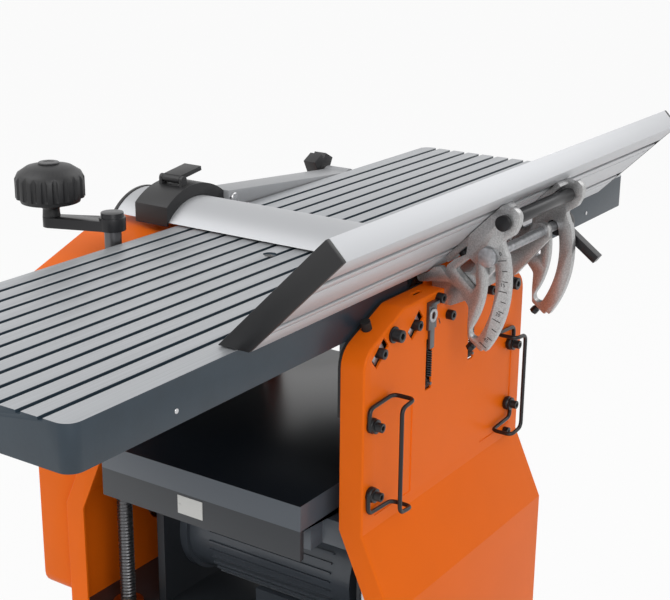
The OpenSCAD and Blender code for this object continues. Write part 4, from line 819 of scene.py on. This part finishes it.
class PLANER_OT_panel_fittings(bpy.types.Operator):
    """Screws, wire hooks, springs, latch and slits of the fence-side panel"""

    bl_idname = "planer.panel_fittings"
    bl_label = "Panel fittings"

    def execute(self, context):
        softened("panel_screws", black_steel(), width=mm(0.5))
        softened("latch_bracket", dark_steel(), width=mm(0.5))
        self.hooks(context.scene.planer_sizes.wire)
        self.springs()
        bm = lathe(LATCH_RING, facing((LATCH_X, PANEL_FACE_Y + 3, LATCH_Z), (0, 1, 0)), 32)
        detail("latch_ring", bm, zinc(), "body", "dark_steel")
        self.slits()
        return {"FINISHED"}

    def hooks(self, wire):
        """Bent wire hooks at both ends of the panel, their lower half the mirror of the upper."""
        bm = bmesh.new()
        y, out = PANEL_FACE_Y + 2.8, PANEL_FACE_Y + 26
        bends = [(148, y, 34), (148, y, 53), (107, y, 55), (107, out, 55), (129, out, 53)]
        bends += [(x, depth, -up) for x, depth, up in reversed(bends)]
        for side, shift in HOOK_SHIFTS:
            line = [mm(side * x + shift, depth, HOOK_Z + up) for x, depth, up in bends]
            add_wire(bm, rounded_line(line, mm(7)), wire / 2, 16)
            for up in (35, -35):
                eye = facing((side * HOOK_EYE_X + shift, PANEL_FACE_Y, HOOK_Z + up), (0, 1, 0))
                join(bm, lathe(HOOK_EYE, eye, 32))
        piece = detail("bent_wire_hooks", bm, black_steel(), "body", "black_steel", 50)
        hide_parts("wire_hooks")

    def springs(self):
        """Tension springs of the panel, wound from round wire with a hook at each end."""
        bm = bmesh.new()
        coil, hook = SPRING_COIL, SPRING_HOOK
        end = [(-hook, 0, 2 * hook - 1.6), (-hook, 0, 2 * hook + 0.2)]
        for angle in range(180, 35, -18):
            bend = math.radians(angle)
            end.append((hook * math.cos(bend), 0, 2 * hook + 0.4 + hook * math.sin(bend)))
        end += [(coil * 0.98, 0, hook * 1.3), (coil, 0, hook * 0.5)]
        turns = []
        for step in range(SPRING_TURNS * 16 + 1):
            angle = 2 * math.pi * step / 16
            turns.append((coil * math.cos(angle), coil * math.sin(angle), -step * SPRING_PITCH / 16))
        other_end = [(u, v, -SPRING_TURNS * SPRING_PITCH - w) for u, v, w in reversed(end)]
        for x, z in SPRING_ANCHORS:
            line = [mm(x + u, PANEL_FACE_Y - 1 + v, z + w) for u, v, w in end + turns + other_end]
            add_wire(bm, line, mm(0.8), 8)
        piece = detail("wound_springs", bm, black_steel(), "body", "black_steel", 60)
        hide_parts("panel_springs")

    def slits(self):
        """Narrow slits beside the latch, as dark slips of painted shade on the panel's face."""
        bm = bmesh.new()
        for x, z, size, turn in SLITS:
            place = facing((x, PANEL_FACE_Y, z), (0, 1, 0), turn)
            add_box(bm, mm(-0.8, -size / 2, -0.2), mm(0.8, size / 2, 0.05), place)
        round_edges(bm, mm(0.02), 1)
        detail("panel_slit_shade", bm, black_rubber(), "body", "black_plastic")


class PLANER_OT_crank(bpy.types.Operator):
    """Height crank with its fluted knob"""

    bl_idname = "planer.crank"
    bl_label = "Crank"

    def execute(self, context):
        softened("crank_arm", black_steel(), width=mm(1.0))
        softened("crank_knob", black_plastic(), width=mm(0.6))
        low, high = corners("crank_knob")
        bm = lathe([(11, -0.5), (11, 0.6), (10.4, 1.2), (5.5, 1.4), (5.0, 0.9), (0.001, 0.8)],
                   facing(((low.x + high.x) / 2, (low.y + high.y) / 2, high.z), (0, 0, 1)), 32)
        detail("crank_knob_cap", bm, knob_cap(), "knob", "black_plastic")
        bm = bmesh.new()
        add_screw(bm, facing((CRANK_AXIS.x, CRANK_AXIS.y, CRANK_HUB_Z), (0, 0, 1)), 9, 1.5)
        detail("crank_hub_screw", bm, dark_steel(), "crank", "dark_steel")
        return {"FINISHED"}


class PLANER_OT_cutter(bpy.types.Operator):
    """Cutterblock, feed rollers, fingers and the drive"""

    bl_idname = "planer.cutter"
    bl_label = "Cutterblock and drive"

    def execute(self, context):
        looks = {
            "cutterblock": bright_steel(), "knives_set": bright_steel(), "gib_bars": dark_steel(),
            "bearing_set": bright_steel(), "cutter_pulley": cast_alloy(), "near_roller": dark_steel(),
            "far_roller": dark_steel(), "gearbox": cast_alloy(), "gearbox_input": dark_steel(),
            "gearbox_output": dark_steel(), "kickback_fingers": dark_steel(), "kickback_rod": bright_steel(),
            "motor": grey_paint(), "motor_shaft": bright_steel(), "drive_belts": black_rubber(),
            "drive_chains": dark_steel(),
        }
        for node, material in looks.items():
            finished_node(node, material)
        self.gib_screws()
        self.motor_ribs()
        return {"FINISHED"}

    def gib_screws(self):
        """Clamping screws along the gib bars of the cutterblock."""
        bm = bmesh.new()
        for knife in range(KNIVES):
            angle = math.radians(GIB_ANGLE + 360 / KNIVES * knife)
            outward = Vector((math.cos(angle), 0, math.sin(angle)))
            for y in GIB_SCREW_Y:
                spot = Vector((0, y, CUTTER_AXIS.z)) + outward * GIB_SCREW_RADIUS
                add_screw(bm, facing(spot, outward), 8, 1.2)
        detail("knife_screws", bm, black_steel(), "cutter", "black_steel")

    def motor_ribs(self):
        """Cooling ribs along the motor's shell."""
        low, high = corners("motor")
        bm = bmesh.new()
        for rib in range(MOTOR_RIBS):
            turn = Matrix.Translation(mm(0, 0, MOTOR_AXIS.z)) @ turned(rib * 360 / MOTOR_RIBS, "Y")
            add_box(bm, mm(-0.9, low.y + 40, RIB_FOOT), mm(0.9, high.y - 24, RIB_TOP), turn)
        detail("motor_ribs", bm, grey_paint(), "body", "grey_cast")


class PLANER_OT_fence(bpy.types.Operator):
    """Fence profile with its end caps"""

    bl_idname = "planer.fence"
    bl_label = "Fence"

    def execute(self, context):
        softened("fence_profile", anodised(), width=mm(0.4))
        softened("fence_caps", black_plastic(), width=mm(0.8))
        return {"FINISHED"}


class PLANER_OT_tilt_gear(bpy.types.Operator):
    """Tilt quadrants with their scale, the carrier, rod and lever"""

    bl_idname = "planer.tilt_gear"
    bl_label = "Tilt gear"

    def execute(self, context):
        for node in ("near_quadrant", "far_quadrant"):
            softened(node, cast_alloy(), width=mm(1.0))
        softened("quadrant_fittings", black_steel(), width=mm(0.5))
        softened("fence_carrier", cast_alloy(), width=mm(1.2))
        softened("tilt_rod", zinc(), width=mm(0.5))
        softened("tilt_lever", black_steel(), width=mm(1.8), segments=3)
        self.scale(context.scene.planer_sizes.scale_step)
        self.carrier_screws()
        return {"FINISHED"}

    def on_scale(self, degrees):
        """The frame on the quadrant's face whose Y runs out through a mark."""
        return Matrix.Translation(mm(QUADRANT_FACE_X, *TILT_AXIS.yz)) @ turned(SCALE_ZERO - degrees, "X")

    def scale(self, step):
        """Degree scale on the near quadrant, with a numeral every 15 degrees."""
        bm = bmesh.new()
        for degrees in range(0, SCALE_END + 1, step):
            inner = SCALE_INNER if degrees % 15 else SCALE_INNER_LONG
            add_box(bm, mm(-0.1, inner, -0.35), mm(0.25, SCALE_OUTER, 0.35), self.on_scale(degrees))
        for degrees in range(0, SCALE_END + 1, 15):
            place = (self.on_scale(degrees - NUMERAL_ASIDE) @ Matrix.Translation(mm(0.1, NUMERAL_RADIUS, 0))
                     @ turned(90, "X") @ turned(90, "Y"))
            add_numeral(bm, str(degrees), 5.2, 0.15, place)
        detail("tilt_scale", bm, scale_ink(), "tilt", "black_plastic", 60)

    def carrier_screws(self):
        """Screws in the carrier's foot, above the panel's face."""
        bm = bmesh.new()
        low, high = corners("fence_carrier")
        for x in (low.x + 14, (low.x + high.x) / 2, high.x - 22):
            add_screw(bm, facing((x, PANEL_FACE_Y + 8, CARRIER_SCREW_Z), (0, 1, 0)), 9, 4)
        detail("carrier_screws", bm, black_steel(), "body", "black_steel")


class PLANER_OT_guard(bpy.types.Operator):
    """Cutter guard: arched plate, clamp, lever, arm, pivot and knob"""

    bl_idname = "planer.guard"
    bl_label = "Cutter guard"

    def execute(self, context):
        plate = softened("guard_plate", brushed_plate(), width=mm(0.4))
        strip_end = corners("guard_plate")[0].y + 4.2
        paint_where(plate, black_plastic(), lambda middle, normal: middle.y < strip_end)
        softened("guard_clamp", black_plastic(), width=mm(1.6), segments=3)
        softened("clamp_lever", black_plastic(), width=mm(1.5), segments=3)
        softened("guard_arm", arm_paint(), width=mm(1.2))
        softened("guard_pivot", dark_steel(), width=mm(0.8))
        softened("guard_knob", black_plastic(), width=mm(1.5), segments=3)
        arm_side = corners("guard_arm")[1].y
        bm = bmesh.new()
        add_screw(bm, facing((ARM_SCREW_X, arm_side, ARM_SCREW_Z), (0, 1, 0)), 12, 3.6)
        detail("guard_arm_screw", bm, bright_steel(), "guard_swing", "bright_steel")
        self.pivot_screws(arm_side + 0.3)
        return {"FINISHED"}

    def pivot_screws(self, face_y):
        """Cap on the pivot of the guard's arm, and the screws on both sides of it."""
        x, z = GUARD_AXIS.x, GUARD_AXIS.z
        bm = lathe([(6, -0.5), (5.6, 0.6), (0.001, 0.9)],
                   facing((x, corners("guard_pivot")[0].y, z), (0, -1, 0)), 24)
        for aside in (-PIVOT_SCREWS_ASIDE, PIVOT_SCREWS_ASIDE):
            add_screw(bm, facing((x + aside, face_y, z - PIVOT_SCREWS_BELOW), (0, -1, 0)), 7, 1.6)
        detail("guard_pivot_screws", bm, black_steel(), "body", "black_steel")


class PLANER_OT_switch(bpy.types.Operator):
    """Switch box with its buttons"""

    bl_idname = "planer.switch"
    bl_label = "Switch box"

    def execute(self, context):
        softened("switch_box", black_plastic(), width=mm(1.5), segments=3)
        softened("start_button", green_cap(), width=mm(1.2), segments=3)
        softened("stop_button", red_cap(), width=mm(2.0), segments=3)
        bm = bmesh.new()
        for x, z in LID_SCREWS:
            add_cross_screw(bm, facing((x, SWITCH_FACE_Y, z), (0, -1, 0), 15), 8, 1.6)
        detail("switch_lid_screws", bm, dark_steel(), "body", "dark_steel")
        self.collars()
        return {"FINISHED"}

    def collars(self):
        """Grey collars round the buttons, and the lines of the lid above and below them."""
        bm = bmesh.new()
        outer, inner = BUTTON_RADIUS, BUTTON_RADIUS - 1.8
        collar = [(inner, -0.2), (inner, 1.6), (outer - 0.6, 2.0), (outer, 1.2), (outer, -0.2)]
        for x in BUTTONS_X:
            join(bm, lathe(collar, facing((x, SWITCH_FACE_Y, BUTTONS_Z), (0, -1, 0)), 32))
        for z in LID_LINES_Z:
            add_box(bm, mm(LID_LINE_X[0], SWITCH_FACE_Y - 0.1, z),
                    mm(LID_LINE_X[1], SWITCH_FACE_Y + 0.2, z + 0.6))
        detail("switch_collars", bm, grey_collar(), "body", "black_plastic")


class PLANER_OT_stand(bpy.types.Operator):
    """Stand with its rubber feet"""

    bl_idname = "planer.stand"
    bl_label = "Stand"

    def execute(self, context):
        softened("stand", dark_paint(), width=mm(0.8))
        softened("rubber_feet", black_rubber(), width=mm(1.5))
        self.bolts()
        return {"FINISHED"}

    def bolts(self):
        """Two hexagon bolts near the top of each leg, on its splayed outer face."""
        bm = bmesh.new()
        for x in (-LEG_BOLT_X, LEG_BOLT_X):
            for side in (-1, 1):
                for drop in LEG_BOLT_DROPS:
                    head = bmesh.new()
                    bmesh.ops.create_cone(head, cap_ends=True, segments=6, radius1=mm(7.5), radius2=mm(7.5),
                                          depth=mm(5))
                    round_edges(head, mm(0.5), 1)
                    spot = (x, side * (LEG_TOP_Y + LEG_SPLAY * drop), LEG_TOP_Z - drop)
                    bmesh.ops.transform(head, matrix=facing(spot, (0, side, 0)), verts=head.verts)
                    join(bm, head)
        detail("leg_bolts", bm, bright_steel(), "body", "bright_steel")


class PLANER_OT_studio(bpy.types.Operator):
    """Floor, soft light and the camera at the photograph's place"""

    bl_idname = "planer.studio"
    bl_label = "Studio"

    def execute(self, context):
        studio = context.scene.planer_studio
        self.lay_floor(context, studio.floor)
        self.hang_lamp(context, "Key lamp", (1.6, -1.4, 3.2), 2.6, studio.key)
        self.hang_lamp(context, "Fill lamp", (2.1, 2.4, 2.4), 2.0, studio.key)
        self.hang_lamp(context, "Back lamp", (-2.4, 0.6, 2.8), 2.2, studio.key * 0.5)
        self.light_world(context, studio.world)
        self.place_camera(context)
        context.scene.view_settings.view_transform = "Standard"
        return {"FINISHED"}

    def lay_floor(self, context, tone):
        bm = bmesh.new()
        bmesh.ops.create_grid(bm, x_segments=1, y_segments=1, size=30)
        mesh = bpy.data.meshes.new("Floor")
        bm.to_mesh(mesh)
        bm.free()
        mesh.materials.append(finish("Pale floor", tone, 0.9))
        self.whiten(mesh.materials[0])
        floor = bpy.data.objects.new("Floor", mesh)
        context.collection.objects.link(floor)

    def hang_lamp(self, context, name, place, size, power):
        """A square lamp, its place in metres, aimed at the middle of the machine."""
        data = bpy.data.lights.new(name, "AREA")
        data.size = size
        data.energy = power
        lamp = bpy.data.objects.new(name, data)
        lamp.location = place
        lamp.rotation_mode = "QUATERNION"
        lamp.rotation_quaternion = (LAMP_AIM - Vector(place)).to_track_quat("-Z", "Y")
        context.collection.objects.link(lamp)

    def seen_rays(self, tree):
        """1 where a ray comes from the camera, a reflection or through a clear piece."""
        path = tree.nodes.new("ShaderNodeLightPath")
        rays = path.outputs["Is Camera Ray"]
        for kind in ("Is Glossy Ray", "Is Transmission Ray"):
            larger = tree.nodes.new("ShaderNodeMath")
            larger.operation = "MAXIMUM"
            tree.links.new(rays, larger.inputs[0])
            tree.links.new(path.outputs[kind], larger.inputs[1])
            rays = larger.outputs["Value"]
        return rays

    def whiten(self, material):
        """Brings a floor nearer to white where it is seen, and leaves its shadows."""
        tree = material.node_tree
        glow = tree.nodes.new("ShaderNodeEmission")
        glow.inputs["Strength"].default_value = 1.0
        share = tree.nodes.new("ShaderNodeMath")
        share.operation = "MULTIPLY"
        share.inputs[1].default_value = FLOOR_WHITE
        mix = tree.nodes.new("ShaderNodeMixShader")
        out = tree.nodes["Material Output"]
        tree.links.new(self.seen_rays(tree), share.inputs[0])
        tree.links.new(share.outputs["Value"], mix.inputs["Fac"])
        tree.links.new(shader_of(material).outputs["BSDF"], mix.inputs[1])
        tree.links.new(glow.outputs["Emission"], mix.inputs[2])
        tree.links.new(mix.outputs["Shader"], out.inputs["Surface"])

    def light_world(self, context, strength):
        """Soft light all round; a ray that meets nothing sees white."""
        world = context.scene.world or bpy.data.worlds.new("Studio")
        context.scene.world = world
        world.use_nodes = True
        tree = world.node_tree
        tree.nodes.clear()
        light = tree.nodes.new("ShaderNodeBackground")
        light.inputs["Strength"].default_value = strength
        seen = tree.nodes.new("ShaderNodeBackground")
        seen.inputs["Color"].default_value = (1, 1, 1, 1)
        seen.inputs["Strength"].default_value = 1.0
        mix = tree.nodes.new("ShaderNodeMixShader")
        out = tree.nodes.new("ShaderNodeOutputWorld")
        tree.links.new(self.seen_rays(tree), mix.inputs["Fac"])
        tree.links.new(light.outputs["Background"], mix.inputs[1])
        tree.links.new(seen.outputs["Background"], mix.inputs[2])
        tree.links.new(mix.outputs["Shader"], out.inputs["Surface"])

    def place_camera(self, context):
        """The camera at the photograph's place."""
        data = bpy.data.cameras.new("Camera")
        data.sensor_width = 36
        data.lens = FOCAL_PIXELS * data.sensor_width / IMAGE_WIDTH
        data.clip_end = 30
        camera = bpy.data.objects.new("Camera", data)
        context.collection.objects.link(camera)
        aim = Vector(CAMERA_AIM).normalized().to_track_quat("-Z", "Y").to_matrix().to_4x4()
        camera.rotation_mode = "QUATERNION"
        camera.rotation_quaternion = (aim @ turned(CAMERA_ROLL, "Z")).to_quaternion()
        camera.location = mm(*CAMERA_PLACE)
        context.scene.camera = camera


STEPS = (
    PLANER_OT_tables, PLANER_OT_thicknessing_table, PLANER_OT_side_panels, PLANER_OT_panel_fittings,
    PLANER_OT_crank, PLANER_OT_cutter, PLANER_OT_fence, PLANER_OT_tilt_gear, PLANER_OT_guard,
    PLANER_OT_switch, PLANER_OT_stand, PLANER_OT_studio,
)


class PLANER_PT_pieces(bpy.types.Panel):
    """Lists the pieces of the planer thicknesser"""

    bl_idname = "PLANER_PT_pieces"
    bl_label = "Planer thicknesser"
    bl_space_type = "VIEW_3D"
    bl_region_type = "UI"
    bl_category = "Planer"

    def draw(self, context):
        for step in STEPS:
            self.layout.operator(step.bl_idname)
        for settings in SETTINGS:
            group = getattr(context.scene, settings)
            box = self.layout.box()
            for name in group.__annotations__:
                box.prop(group, name)


SETTINGS = {"planer_finishes": PlanerFinishes, "planer_sizes": PlanerSizes, "planer_studio": PlanerStudio}


def register():
    for cls in (*SETTINGS.values(), *STEPS, PLANER_PT_pieces):
        bpy.utils.register_class(cls)
    for name, group in SETTINGS.items():
        setattr(bpy.types.Scene, name, PointerProperty(type=group))


def unregister():
    for name in SETTINGS:
        delattr(bpy.types.Scene, name)
    for cls in (PLANER_PT_pieces, *reversed(STEPS), *SETTINGS.values()):
        bpy.utils.unregister_class(cls)


def main():
    register()
    for step in STEPS:
        group, name = step.bl_idname.split(".")
        getattr(getattr(bpy.ops, group), name)()


if __name__ == "__main__":
    main()
